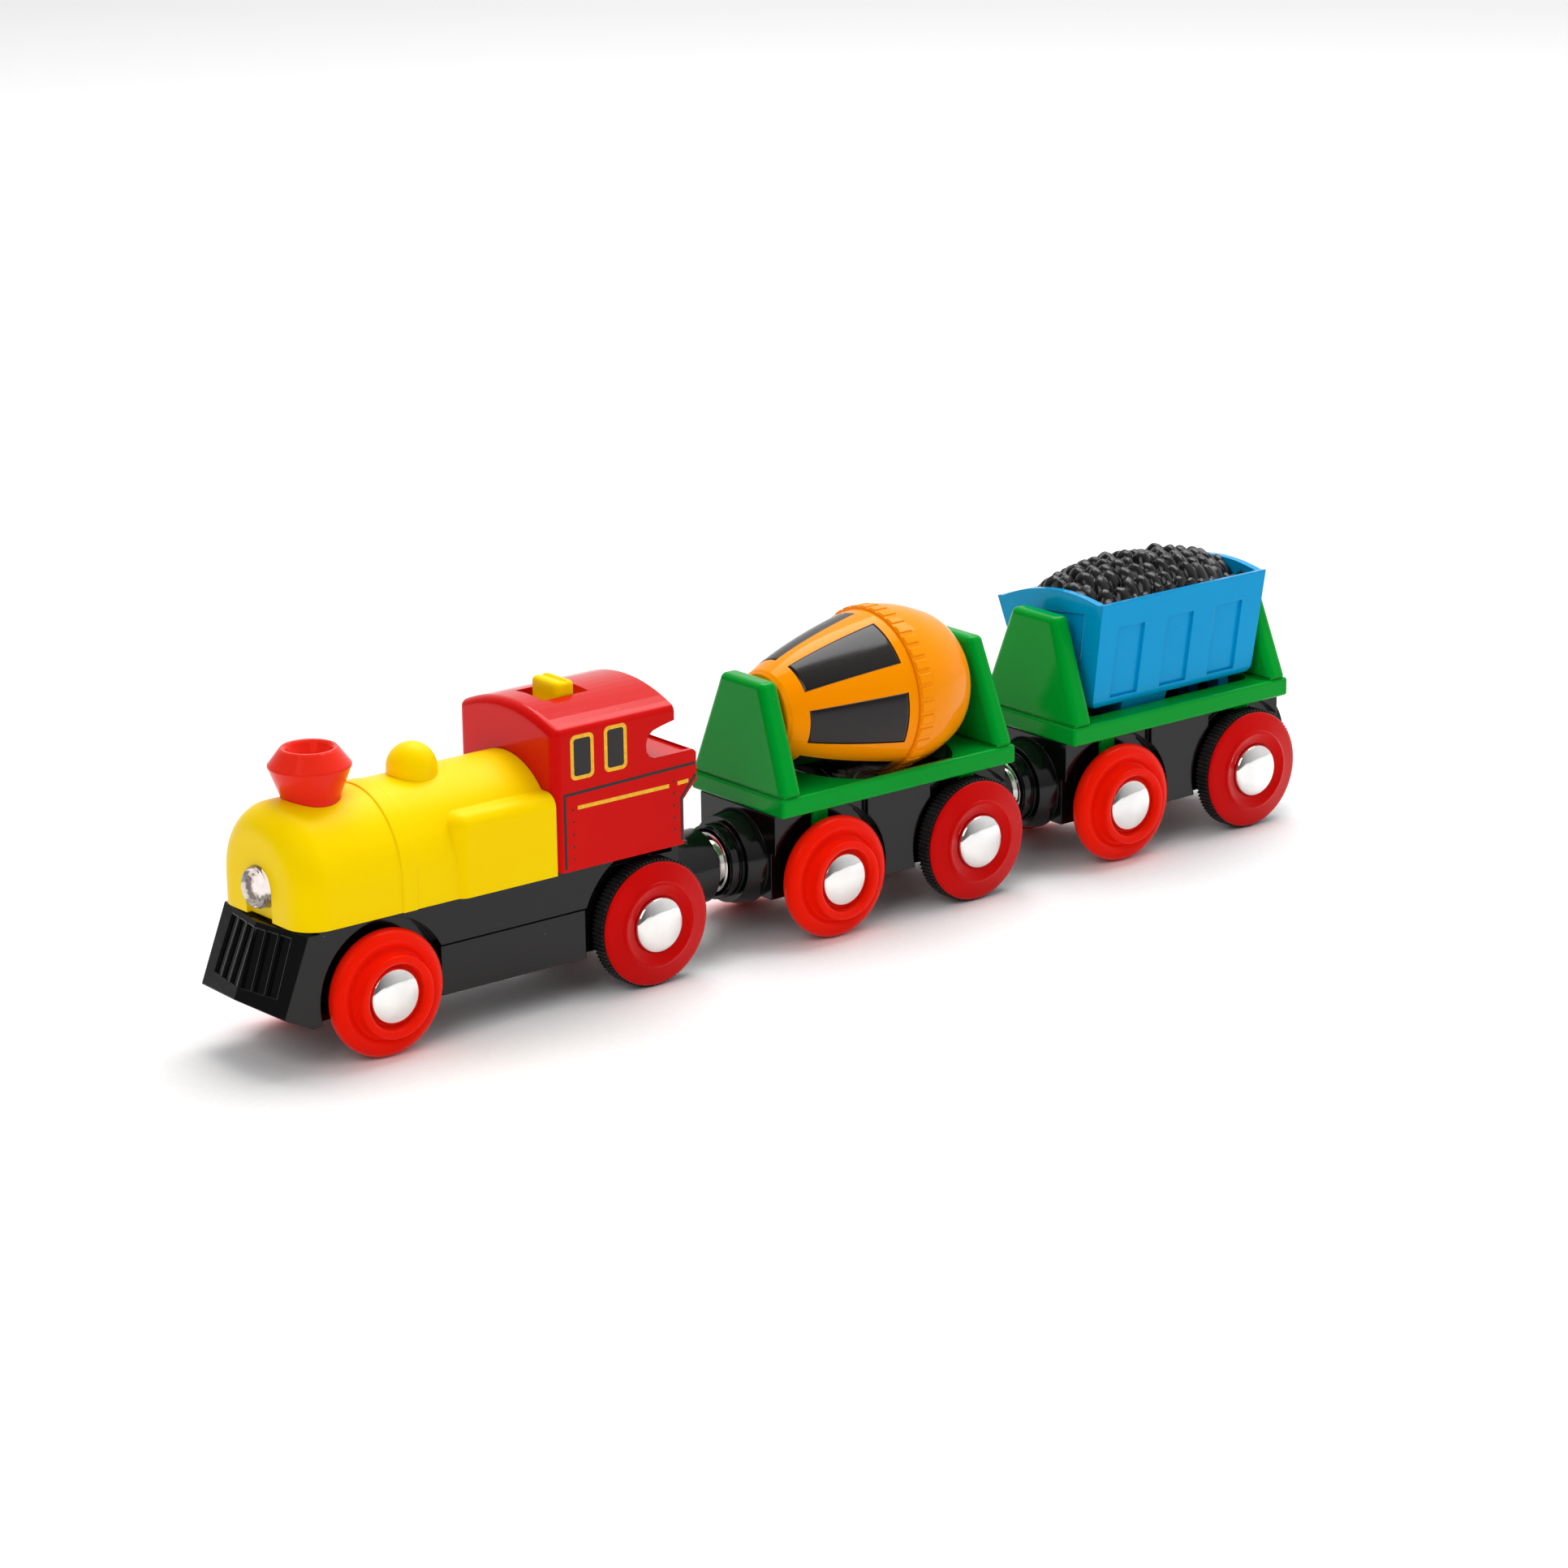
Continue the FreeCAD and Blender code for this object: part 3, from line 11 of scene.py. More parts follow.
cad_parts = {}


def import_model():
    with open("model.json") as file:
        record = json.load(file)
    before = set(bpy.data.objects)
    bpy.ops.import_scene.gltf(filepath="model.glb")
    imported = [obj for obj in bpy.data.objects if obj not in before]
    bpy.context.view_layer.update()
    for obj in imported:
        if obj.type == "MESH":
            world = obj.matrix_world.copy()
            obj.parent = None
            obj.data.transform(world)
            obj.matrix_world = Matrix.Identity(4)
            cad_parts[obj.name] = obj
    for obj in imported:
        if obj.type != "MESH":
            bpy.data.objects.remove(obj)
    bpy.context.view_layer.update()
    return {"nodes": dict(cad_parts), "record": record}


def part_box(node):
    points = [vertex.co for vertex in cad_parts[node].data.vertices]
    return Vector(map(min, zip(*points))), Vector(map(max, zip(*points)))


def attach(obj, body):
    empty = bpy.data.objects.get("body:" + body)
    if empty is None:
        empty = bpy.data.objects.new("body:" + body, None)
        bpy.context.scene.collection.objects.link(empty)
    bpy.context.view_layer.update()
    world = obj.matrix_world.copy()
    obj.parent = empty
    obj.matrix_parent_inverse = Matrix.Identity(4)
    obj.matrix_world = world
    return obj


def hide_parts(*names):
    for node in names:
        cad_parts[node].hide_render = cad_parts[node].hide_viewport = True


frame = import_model()
NODES = frame["nodes"]
MM = 0.001


# ---------------------------------------------------------------- materials


def linear(red, green, blue):
    """Scene-linear colour of an sRGB triple from 0 to 255."""
    values = []
    for part in (red, green, blue):
        part = part / 255
        values.append(part / 12.92 if part <= 0.04045 else ((part + 0.055) / 1.055) ** 2.4)
    return (*values, 1.0)


class Shader:
    """A Principled material with short names for adding and joining nodes."""

    def __init__(self, name):
        self.material = bpy.data.materials.new(name)
        self.material.use_nodes = True
        self.tree = self.material.node_tree
        self.main = self.tree.nodes["Principled BSDF"]
        self.place = self.add("ShaderNodeTexCoord").outputs["Object"]

    def add(self, kind, **settings):
        made = self.tree.nodes.new(kind)
        for key, value in settings.items():
            if key in made.inputs:
                made.inputs[key].default_value = value
            else:
                setattr(made, key, value)
        return made

    def join(self, source, target):
        self.tree.links.new(source, target)

    def set(self, **values):
        for key, value in values.items():
            self.main.inputs[key.replace("_", " ")].default_value = value

    def noise(self, scale, detail=3.0, rough=0.5, stretch=None):
        """Fractal noise laid through the object, scale in features per metre."""
        made = self.add("ShaderNodeTexNoise")
        made.inputs["Scale"].default_value = scale
        made.inputs["Detail"].default_value = detail
        made.inputs["Roughness"].default_value = rough
        if stretch is None:
            self.join(self.place, made.inputs["Vector"])
        else:
            mapping = self.add("ShaderNodeMapping")
            mapping.inputs["Scale"].default_value = stretch
            self.join(self.place, mapping.inputs["Vector"])
            self.join(mapping.outputs["Vector"], made.inputs["Vector"])
        return made.outputs["Fac"]

    def spread(self, source, low, high, out_low, out_high):
        """Maps one range of a value onto another."""
        made = self.add("ShaderNodeMapRange")
        for key, value in zip(
            ("From Min", "From Max", "To Min", "To Max"), (low, high, out_low, out_high)
        ):
            made.inputs[key].default_value = value
        self.join(source, made.inputs["Value"])
        return made.outputs["Result"]

    def specks(self, scale, size, share):
        """Small round specks: 1 on a speck, 0 elsewhere; only some cells carry one."""
        cells = self.add("ShaderNodeTexVoronoi")
        cells.inputs["Scale"].default_value = scale
        self.join(self.place, cells.inputs["Vector"])
        near = self.spread(cells.outputs["Distance"], size, size * 0.5, 0.0, 1.0)
        split = self.add("ShaderNodeSeparateColor")
        self.join(cells.outputs["Color"], split.inputs["Color"])
        chosen = self.add("ShaderNodeMath", operation="LESS_THAN")
        chosen.inputs[1].default_value = share
        self.join(split.outputs["Red"], chosen.inputs[0])
        both = self.add("ShaderNodeMath", operation="MULTIPLY")
        self.join(near, both.inputs[0])
        self.join(chosen.outputs[0], both.inputs[1])
        return both.outputs[0]

    def mix(self, share, first, second):
        """Colour blend; each colour is a socket or a value."""
        made = self.add("ShaderNodeMix", data_type="RGBA")
        self.join(share, made.inputs["Factor"])
        for index, colour in ((6, first), (7, second)):
            if isinstance(colour, bpy.types.NodeSocket):
                self.join(colour, made.inputs[index])
            else:
                made.inputs[index].default_value = colour
        return made.outputs[2]

    def edges(self, radius):
        """(rounded normal, 0 to 1 value that is high along edges)."""
        bevel = self.add("ShaderNodeBevel", samples=6)
        bevel.inputs["Radius"].default_value = radius
        geometry = self.add("ShaderNodeNewGeometry")
        dot = self.add("ShaderNodeVectorMath", operation="DOT_PRODUCT")
        self.join(bevel.outputs["Normal"], dot.inputs[0])
        self.join(geometry.outputs["Normal"], dot.inputs[1])
        return bevel.outputs["Normal"], self.spread(dot.outputs["Value"], 0.99, 0.75, 0.0, 1.0)

    def bump(self, height, strength, distance, normal=None):
        made = self.add("ShaderNodeBump")
        made.inputs["Strength"].default_value = strength
        made.inputs["Distance"].default_value = distance
        self.join(height, made.inputs["Height"])
        if normal is not None:
            self.join(normal, made.inputs["Normal"])
        return made.outputs["Normal"]


def moulded(name, colour, shade, gloss=0.16, sheen=0.5, rounding=0.25, peel=0.15, dust=0.03):
    """Injection-moulded plastic: faint flow shade, orange peel, fine wear, edge line and dust."""
    shader = Shader(name)
    normal, edge = shader.edges(rounding * MM)
    flow = shader.spread(shader.noise(38, 2.0), 0.3, 0.7, 0.0, 1.0)
    colour_now = shader.mix(flow, shade, colour)
    pale = tuple(min(1.0, part * 1.12 + 0.012) for part in colour[:3]) + (1.0,)
    edge_share = shader.add("ShaderNodeMath", operation="MULTIPLY")
    shader.join(edge, edge_share.inputs[0])
    shader.join(shader.spread(shader.noise(420), 0.35, 0.65, 0.1, 0.5), edge_share.inputs[1])
    colour_now = shader.mix(edge_share.outputs[0], colour_now, pale)
    speck = shader.specks(900, 0.1, dust)
    colour_now = shader.mix(
        shader.spread(speck, 0, 1, 0, 0.3), colour_now, (0.6, 0.58, 0.56, 1.0)
    )
    shader.join(colour_now, shader.main.inputs["Base Color"])
    handling = shader.noise(90, 4.0, 0.6)
    scuffs = shader.noise(900, 2.0, 0.5, stretch=(1.0, 0.25, 1.0))
    rough = shader.add("ShaderNodeMath", operation="ADD")
    shader.join(shader.spread(handling, 0.35, 0.7, gloss * 0.85, gloss * 1.15), rough.inputs[0])
    shader.join(shader.spread(scuffs, 0.55, 0.8, 0.0, 0.05), rough.inputs[1])
    shader.join(rough.outputs[0], shader.main.inputs["Roughness"])
    surface = shader.bump(shader.noise(260, 1.5), peel, 0.00002, normal)
    surface = shader.bump(shader.noise(3200, 2.0), 0.06, 0.00001, surface)
    shader.join(surface, shader.main.inputs["Normal"])
    tint = tuple(min(1.0, part + 0.05) for part in colour[:3]) + (1.0,)
    shader.set(IOR=1.5, Specular_IOR_Level=sheen, Specular_Tint=tint if max(colour[:3]) > 0.1
               else (1.0, 1.0, 1.0, 1.0))
    return shader.material


def metal(name, colour, rough, scratch=0.12, brushed=None):
    """Polished or brushed metal with fine hairlines, faint tarnish and rounded edges."""
    shader = Shader(name)
    normal, edge = shader.edges(0.15 * MM)
    tarnish = shader.spread(shader.noise(160, 4.0, 0.6), 0.35, 0.7, 0.0, 1.0)
    dull = tuple(part * 0.86 for part in colour[:3]) + (1.0,)
    shader.join(shader.mix(tarnish, dull, colour), shader.main.inputs["Base Color"])
    lines = shader.noise(1600, 3.0, 0.6, stretch=brushed or (1.0, 0.3, 0.12))
    shader.join(shader.spread(lines, 0.4, 0.75, rough, rough + scratch),
                shader.main.inputs["Roughness"])
    shader.join(shader.bump(lines, 0.05, 0.00001, normal), shader.main.inputs["Normal"])
    shader.set(Metallic=1.0)
    return shader.material


def rubber():
    """Black rubber with a powdery bloom and fine grain."""
    shader = Shader("tyre_rubber")
    normal, edge = shader.edges(0.08 * MM)
    bloom = shader.spread(shader.noise(500, 4.0, 0.6), 0.4, 0.75, 0.0, 1.0)
    shader.join(
        shader.mix(bloom, linear(24, 23, 23), linear(46, 44, 43)),
        shader.main.inputs["Base Color"],
    )
    shader.join(shader.spread(shader.noise(1500), 0.3, 0.7, 0.45, 0.7),
                shader.main.inputs["Roughness"])
    shader.join(shader.bump(shader.noise(4200, 3.0), 0.2, 0.00003, normal),
                shader.main.inputs["Normal"])
    return shader.material


def coal():
    """Glossy black moulding of coal lumps, slightly grey where the tops are rubbed."""
    shader = Shader("coal_moulding")
    rubbed = shader.spread(shader.noise(350, 4.0, 0.6), 0.4, 0.7, 0.0, 1.0)
    shader.join(
        shader.mix(rubbed, linear(6, 6, 7), linear(15, 14, 15)),
        shader.main.inputs["Base Color"],
    )
    shader.join(shader.spread(shader.noise(700, 3.0), 0.3, 0.7, 0.12, 0.26),
                shader.main.inputs["Roughness"])
    shader.set(Specular_IOR_Level=0.4)
    surface = shader.bump(shader.noise(650, 3.0, 0.55), 0.2, 0.0002)
    shader.join(surface, shader.main.inputs["Normal"])
    return shader.material


def clear_lens():
    """Clear polystyrene lens with a faint warm tint and moulding ripples."""
    shader = Shader("lens_clear")
    tint = shader.spread(shader.noise(220, 2.0), 0.3, 0.7, 0.0, 1.0)
    shader.join(
        shader.mix(tint, (0.96, 0.84, 0.80, 1.0), (1.0, 0.92, 0.89, 1.0)),
        shader.main.inputs["Base Color"],
    )
    shader.join(shader.spread(shader.noise(900), 0.4, 0.7, 0.01, 0.04),
                shader.main.inputs["Roughness"])
    shader.join(shader.bump(shader.noise(420, 1.0), 0.12, 0.00003),
                shader.main.inputs["Normal"])
    shader.set(Transmission_Weight=0.92, IOR=1.45)
    return shader.material


def bulb_white():
    """Frosted white bulb that glows a little behind the lens."""
    shader = Shader("bulb_white")
    frost = shader.spread(shader.noise(1500, 3.0), 0.3, 0.7, 0.0, 1.0)
    shader.join(
        shader.mix(frost, (0.84, 0.83, 0.80, 1.0), (0.93, 0.92, 0.90, 1.0)),
        shader.main.inputs["Base Color"],
    )
    shader.join(shader.bump(shader.noise(1500, 3.0), 0.1, 0.00003),
                shader.main.inputs["Normal"])
    shader.set(Roughness=0.5, Emission_Color=(1.0, 0.97, 0.93, 1.0), Emission_Strength=0.7)
    return shader.material


def printed(name, colour, rough=0.3):
    """Pad-printed ink: slightly uneven film with tiny pinholes in its gloss."""
    shader = Shader(name)
    film = shader.spread(shader.noise(1200, 3.0), 0.35, 0.65, 0.0, 1.0)
    deep = tuple(part * 0.85 for part in colour[:3]) + (1.0,)
    shader.join(shader.mix(film, deep, colour), shader.main.inputs["Base Color"])
    shader.join(shader.spread(shader.noise(2600), 0.3, 0.7, rough * 0.7, rough * 1.3),
                shader.main.inputs["Roughness"])
    shader.join(shader.bump(shader.noise(5000), 0.05, 0.00001), shader.main.inputs["Normal"])
    shader.set(Specular_IOR_Level=0.35)
    return shader.material


def studio_floor():
    """Pale paper sweep with barely visible tooth."""
    shader = Shader("studio_floor")
    tooth = shader.spread(shader.noise(900, 3.0), 0.3, 0.7, 0.0, 1.0)
    shader.join(
        shader.mix(tooth, (0.90, 0.90, 0.90, 1.0), (0.93, 0.93, 0.93, 1.0)),
        shader.main.inputs["Base Color"],
    )
    shader.join(shader.bump(shader.noise(1800), 0.05, 0.00002), shader.main.inputs["Normal"])
    shader.set(Roughness=0.9, Specular_IOR_Level=0.1)
    return shader.material


FINISHES = {
    "black_plastic": moulded("black_plastic", linear(9, 9, 10), linear(6, 6, 7), 0.12, 0.33),
    "yellow_plastic": moulded("yellow_plastic", linear(255, 218, 0), linear(255, 213, 0), 0.34,
                              0.14, dust=0.01),
    "red_plastic": moulded("red_plastic", linear(212, 18, 14), linear(204, 15, 12), 0.14, 0.28),
    "wheel_red": moulded("wheel_red", linear(250, 30, 6), linear(242, 24, 5), 0.16, 0.25),
    "funnel_red": moulded("funnel_red", linear(238, 48, 30), linear(232, 44, 28), 0.12, 0.4),
    "dark_red": moulded("dark_red", linear(208, 14, 12), linear(198, 11, 10), 0.12, 0.3),
    "green_plastic": moulded("green_plastic", linear(0, 158, 48), linear(0, 150, 44), 0.13, 0.3),
    "blue_plastic": moulded("blue_plastic", linear(0, 160, 220), linear(0, 155, 215), 0.16, 0.28),
    "orange_plastic": moulded("orange_plastic", linear(255, 152, 0), linear(255, 147, 0), 0.1,
                              0.25),
    "coal": coal(),
    "tyre_rubber": rubber(),
    "cap_steel": metal("cap_steel", (0.88, 0.87, 0.85, 1.0), 0.04, 0.08),
    "magnet_steel": metal("magnet_steel", (0.80, 0.78, 0.76, 1.0), 0.08),
    "axle_steel": metal("axle_steel", (0.60, 0.60, 0.60, 1.0), 0.25),
    "lens_clear": clear_lens(),
    "bulb_white": bulb_white(),
    "gear_white": moulded("gear_white", linear(226, 224, 214), linear(216, 212, 200), 0.4),
    "motor_steel": metal("motor_steel", (0.62, 0.62, 0.63, 1.0), 0.3),
    "contact_brass": metal("contact_brass", (0.80, 0.62, 0.28, 1.0), 0.25),
    "board_green": moulded("board_green", linear(18, 92, 44), linear(14, 80, 36), 0.35),
    "cell_sleeve": moulded("cell_sleeve", linear(60, 62, 68), linear(48, 50, 56), 0.25),
}
OWN_FINISH = {"loco_chimney": "funnel_red", "loco_bulb": "bulb_white"}
INK_BLACK = printed("ink_black", linear(24, 17, 17), 0.16)
INK_YELLOW = printed("ink_yellow", linear(250, 190, 20), 0.3)


def finish_nodes():
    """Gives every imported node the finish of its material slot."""
    slots = {}
    for part in frame["record"]["subparts"]:
        slots[part["node"]] = part["material_slot"]
    for name, thing in NODES.items():
        material = FINISHES[OWN_FINISH.get(name, slots[name])]
        thing.data.materials.clear()
        thing.data.materials.append(material)


# ---------------------------------------------------------------- pieces made here


def mesh_piece(name, points, faces, material, body, smooth=True):
    """A new mesh piece that rides on a body."""
    data = bpy.data.meshes.new(name)
    data.from_pydata([tuple(point) for point in points], [], faces)
    data.validate()
    data.materials.append(material)
    for face in data.polygons:
        face.use_smooth = smooth
    thing = bpy.data.objects.new(name, data)
    bpy.context.scene.collection.objects.link(thing)
    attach(thing, body)
    return thing


def shell_of(points_grid, thickness, name, material, body):
    """A thin closed film over a grid of (point, outward) pairs."""
    rows, columns = len(points_grid), len(points_grid[0])
    points = []
    for lift in (thickness, -0.00001):
        for row in points_grid:
            for point, outward in row:
                points.append(Vector(point) + Vector(outward) * lift)
    count = rows * columns
    faces = []
    for row in range(rows - 1):
        for column in range(columns - 1):
            a = row * columns + column
            b, c, d = a + 1, a + columns + 1, a + columns
            faces.append((a, b, c, d))
            faces.append((a + count, d + count, c + count, b + count))
    rim = [column for column in range(columns)]
    rim += [row * columns + columns - 1 for row in range(1, rows)]
    rim += [(rows - 1) * columns + column for column in range(columns - 2, -1, -1)]
    rim += [row * columns for row in range(rows - 2, 0, -1)]
    for index, start in enumerate(rim):
        stop = rim[(index + 1) % len(rim)]
        faces.append((start, start + count, stop + count, stop))
    thing = mesh_piece(name, points, faces, material, body)
    tidy_normals(thing)
    return thing


def tidy_normals(thing):
    mesh = bmesh.new()
    mesh.from_mesh(thing.data)
    bmesh.ops.recalc_face_normals(mesh, faces=mesh.faces)
    mesh.to_mesh(thing.data)
    mesh.free()


LOCO_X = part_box("loco_axle_rear")[0].x / MM + 1.5
MIXER_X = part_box("mixer_axle_front")[0].x / MM + 1.5
TIPPER_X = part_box("tipper_axle_front")[0].x / MM + 1.5


def flat_film(outline, side, plane, name, material, body, shift, holes=()):
    """Prints a flat outline, given as (x, z) in millimetres, on a side wall."""
    mesh = bmesh.new()
    loops = []
    for loop in (outline, *holes):
        corners = [
            mesh.verts.new(((x + shift) * MM, side * plane * MM, z * MM)) for x, z in loop
        ]
        edges = []
        for index, corner in enumerate(corners):
            edges.append(mesh.edges.new((corner, corners[(index + 1) % len(corners)])))
        loops += edges
    bmesh.ops.triangle_fill(mesh, use_beauty=True, edges=loops)
    faces = list(mesh.faces)
    made = bmesh.ops.extrude_face_region(mesh, geom=faces)
    moved = [item for item in made["geom"] if isinstance(item, bmesh.types.BMVert)]
    bmesh.ops.translate(mesh, vec=(0, side * 0.03 * MM, 0), verts=moved)
    bmesh.ops.recalc_face_normals(mesh, faces=mesh.faces)
    data = bpy.data.meshes.new(name)
    mesh.to_mesh(data)
    mesh.free()
    data.materials.append(material)
    thing = bpy.data.objects.new(name, data)
    bpy.context.scene.collection.objects.link(thing)
    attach(thing, body)
    return thing


def rounded_box(x0, x1, z0, z1, radius, steps=5):
    """Corners of a rounded rectangle, anticlockwise."""
    points = []
    for centre_x, centre_z, start in (
        (x1 - radius, z0 + radius, -90),
        (x1 - radius, z1 - radius, 0),
        (x0 + radius, z1 - radius, 90),
        (x0 + radius, z0 + radius, 180),
    ):
        for step in range(steps + 1):
            angle = math.radians(start + 90 * step / steps)
            points.append((centre_x + radius * math.cos(angle),
                           centre_z + radius * math.sin(angle)))
    return points


def ribbon(points, width):
    """Outline of a line of a given width through a few points."""
    left, right = [], []
    for index, (x, z) in enumerate(points):
        before = Vector(points[max(index - 1, 0)])
        after = Vector(points[min(index + 1, len(points) - 1)])
        here = Vector((x, z))
        first = (here - before).normalized() if index else (after - here).normalized()
        last = (after - here).normalized() if index < len(points) - 1 else first
        along = (first + last).normalized()
        across = Vector((-along.y, along.x))
        reach = width / 2 / max(0.5, along.dot(first))
        left.append(tuple(here + across * reach))
        right.append(tuple(here - across * reach))
    return left + right[::-1]


def cab_print():
    """Windows, panel lines, stripe and rivet dots on both cab sides."""
    plane = 13.47
    for side, word in ((1, "left"), (-1, "right")):
        def put(outline, name, material, holes=()):
            flat_film(outline, side, plane, name + "_" + word, material, "loco", LOCO_X, holes)

        for number, (x0, x1, z0, z1) in enumerate(((12.3, 16.4, 39.5, 46.5),
                                                   (5.5, 9.5, 39.6, 46.8))):
            outer = rounded_box(x0 - 0.33, x1 + 0.33, z0 - 0.33, z1 + 0.33, 1.0)
            inner = rounded_box(x0 + 0.33, x1 - 0.33, z0 + 0.33, z1 - 0.33, 0.5)
            put(outer, "window_frame_%d" % number, INK_YELLOW, (inner,))
            put(inner, "window_pane_%d" % number, INK_BLACK)
        put(ribbon([(18.1, 24.2), (18.1, 36.9), (-8.95, 37.4)], 0.5), "panel_line_front",
            INK_BLACK)
        put(ribbon([(-8.97, 35.4), (-5.96, 31.9), (-5.96, 24.4)], 0.5), "panel_line_rear",
            INK_BLACK)
        put(ribbon([(15.5, 34.4), (-3.4, 34.4)], 0.65), "stripe_long", INK_YELLOW)
        put(ribbon([(-5.2, 34.5), (-7.45, 34.6)], 0.65), "stripe_short", INK_YELLOW)
        for column, (x, top, bottom) in enumerate(((16.4, 34.2, 25.7), (-4.45, 35.0, 26.6))):
            for step in range(5):
                z = top + (bottom - top) * step / 4
                dot = rounded_box(x - 0.21, x + 0.21, z - 0.21, z + 0.21, 0.2, 3)
                put(dot, "rivet_%d_%d" % (column, step), INK_BLACK)


DRUM_Z = 38.1
SEAM = -17.8


def drum_radius(x):
    """Radius of the egg-shaped drum ahead of its widest ring, in the wagon's own millimetres."""
    reach = max(0.0, (x - SEAM + 3.0) / 33.67)
    return 14.83 * math.sqrt(1 - reach ** 1.168)


def drum_print():
    """Six black panels on the front shell of the drum."""
    for number in range(6):
        middle = math.radians(-7.5 + 60 * number)
        grid = []
        for row in range(31):
            x = -15.8 + 17.9 * row / 30
            radius = drum_radius(x)
            line = []
            for column in range(21):
                angle = middle + math.radians(38.5) * (column / 20 - 0.5)
                outward = Vector((0, math.cos(angle), math.sin(angle)))
                point = Vector(((x + MIXER_X) * MM, radius * MM * outward.y,
                                (DRUM_Z + radius * outward.z) * MM))
                line.append((point, outward))
            grid.append(line)
        shell_of(grid, 0.03 * MM, "drum_panel_%d" % number, INK_BLACK, "mixer_drum")


def softened(points, steps=5):
    """A smooth curve through a few points of an outline (Catmull-Rom)."""
    curve = [points[0]]
    for index in range(len(points) - 1):
        before = Vector(points[max(index - 1, 0)])
        start, stop = Vector(points[index]), Vector(points[index + 1])
        after = Vector(points[min(index + 2, len(points) - 1)])
        length = (stop - start).length
        leave = (stop - before).normalized() * length if index else stop - start
        arrive = (after - start).normalized() * length
        if index == len(points) - 2:
            arrive = stop - start
        for step in range(1, steps + 1):
            t = step / steps
            point = (start * (2 * t ** 3 - 3 * t * t + 1) + leave * (t ** 3 - 2 * t * t + t)
                     + stop * (3 * t * t - 2 * t ** 3) + arrive * (t ** 3 - t * t))
            curve.append((max(0.0, point.x), point.y))
    return curve


TURN_STEPS = 96


def lathe(points, faces, sharp, runs, place, turn):
    """Adds a turned shape; runs are lists of (radius, along) that meet in sharp rings."""
    rings = []
    for run in runs:
        for index, (radius, along) in enumerate(run):
            if rings and index == 0:
                sharp.add(rings[-1])
                continue
            rings.append(len(points))
            for step in range(TURN_STEPS):
                angle = 2 * math.pi * step / TURN_STEPS
                local = Vector((radius * math.cos(angle), radius * math.sin(angle), along))
                points.append((place + turn @ local) * MM)
    closed = (Vector(runs[0][0]) - Vector(runs[-1][-1])).length < 1e-6
    if closed:
        sharp.add(rings[0])
        del points[rings[-1]:]
        rings[-1] = rings[0]
    for a, b in zip(rings, rings[1:]):
        for step in range(TURN_STEPS):
            after = (step + 1) % TURN_STEPS
            faces.append((a + step, a + after, b + after, b + step))


def turned_piece(name, node, body, slot, shapes):
    """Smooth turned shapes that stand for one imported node."""
    points, faces, sharp = [], [], set()
    for runs, place, turn in shapes:
        lathe(points, faces, sharp, runs, place, turn)
    thing = mesh_piece(name, points, faces, FINISHES[slot], body)
    mesh = bmesh.new()
    mesh.from_mesh(thing.data)
    marked = {first + step for first in sharp for step in range(TURN_STEPS)}
    for edge in mesh.edges:
        a, b = (corner.index for corner in edge.verts)
        if a in marked and b in marked and abs(a - b) in (1, TURN_STEPS - 1):
            edge.smooth = False
    bmesh.ops.remove_doubles(mesh, verts=mesh.verts, dist=1e-7)
    bmesh.ops.recalc_face_normals(mesh, faces=mesh.faces)
    mesh.to_mesh(thing.data)
    mesh.free()
    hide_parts(node)
    return thing


FREE_WHEEL = [
    [(1.5, 10.5), (9.3, 10.5)],
    softened([(9.3, 10.5), (10.1, 10.9), (10.6, 11.6), (10.76, 12.4), (10.62, 13.15),
              (10.15, 13.75), (9.4, 14.08), (8.7, 14.1), (8.05, 13.88), (7.6, 13.62),
              (7.25, 13.66), (7.1, 14.0)]),
    [(7.1, 14.0), (7.0, 15.75)],
    softened([(7.0, 15.75), (6.88, 16.08), (6.55, 16.2)]),
    [(6.55, 16.2), (6.0, 16.2)],
    softened([(6.0, 16.2), (5.72, 16.1), (5.58, 15.85)]),
    [(5.58, 15.85), (5.1, 14.6)],
    [(5.1, 14.6), (1.5, 14.6)],
    [(1.5, 14.6), (1.5, 10.5)],
]
DRIVE_WHEEL = [
    [(1.5, 10.5), (7.8, 10.5)],
    [(7.8, 10.5), (7.8, 13.2)],
    [(7.8, 13.2), (10.4, 13.2)],
    softened([(10.4, 13.2), (10.65, 13.35), (10.7, 13.55), (10.4, 13.8), (9.0, 14.13),
              (7.5, 14.47)]),
    softened([(7.5, 14.47), (7.3, 14.72), (6.95, 14.82), (6.5, 14.65), (5.8, 14.42),
              (5.1, 14.25)]),
    softened([(5.1, 14.25), (4.95, 14.2), (4.9, 14.1)]),
    [(4.9, 14.1), (1.5, 14.1)],
    [(1.5, 14.1), (1.5, 10.5)],
]


def cap_outline(seat):
    dome = [(4.7, 0), (4.84, 0.14), (4.8, 0.5), (4.6, 0.84), (4.05, 1.17), (3.2, 1.44),
            (2.35, 1.62), (1.22, 1.76), (0, 1.8)]
    return [
        [(0, seat + 0.55), (1.5, seat + 0.55)],
        [(1.5, seat + 0.55), (1.5, seat)],
        [(1.5, seat), (4.7, seat)],
        softened([(radius, seat + rise) for radius, rise in dome]),
    ]


TO_LEFT = Matrix.Rotation(math.radians(-90), 3, "X")
TO_RIGHT = Matrix.Rotation(math.radians(90), 3, "X")
TO_FRONT = Matrix.Rotation(math.radians(90), 3, "Y")


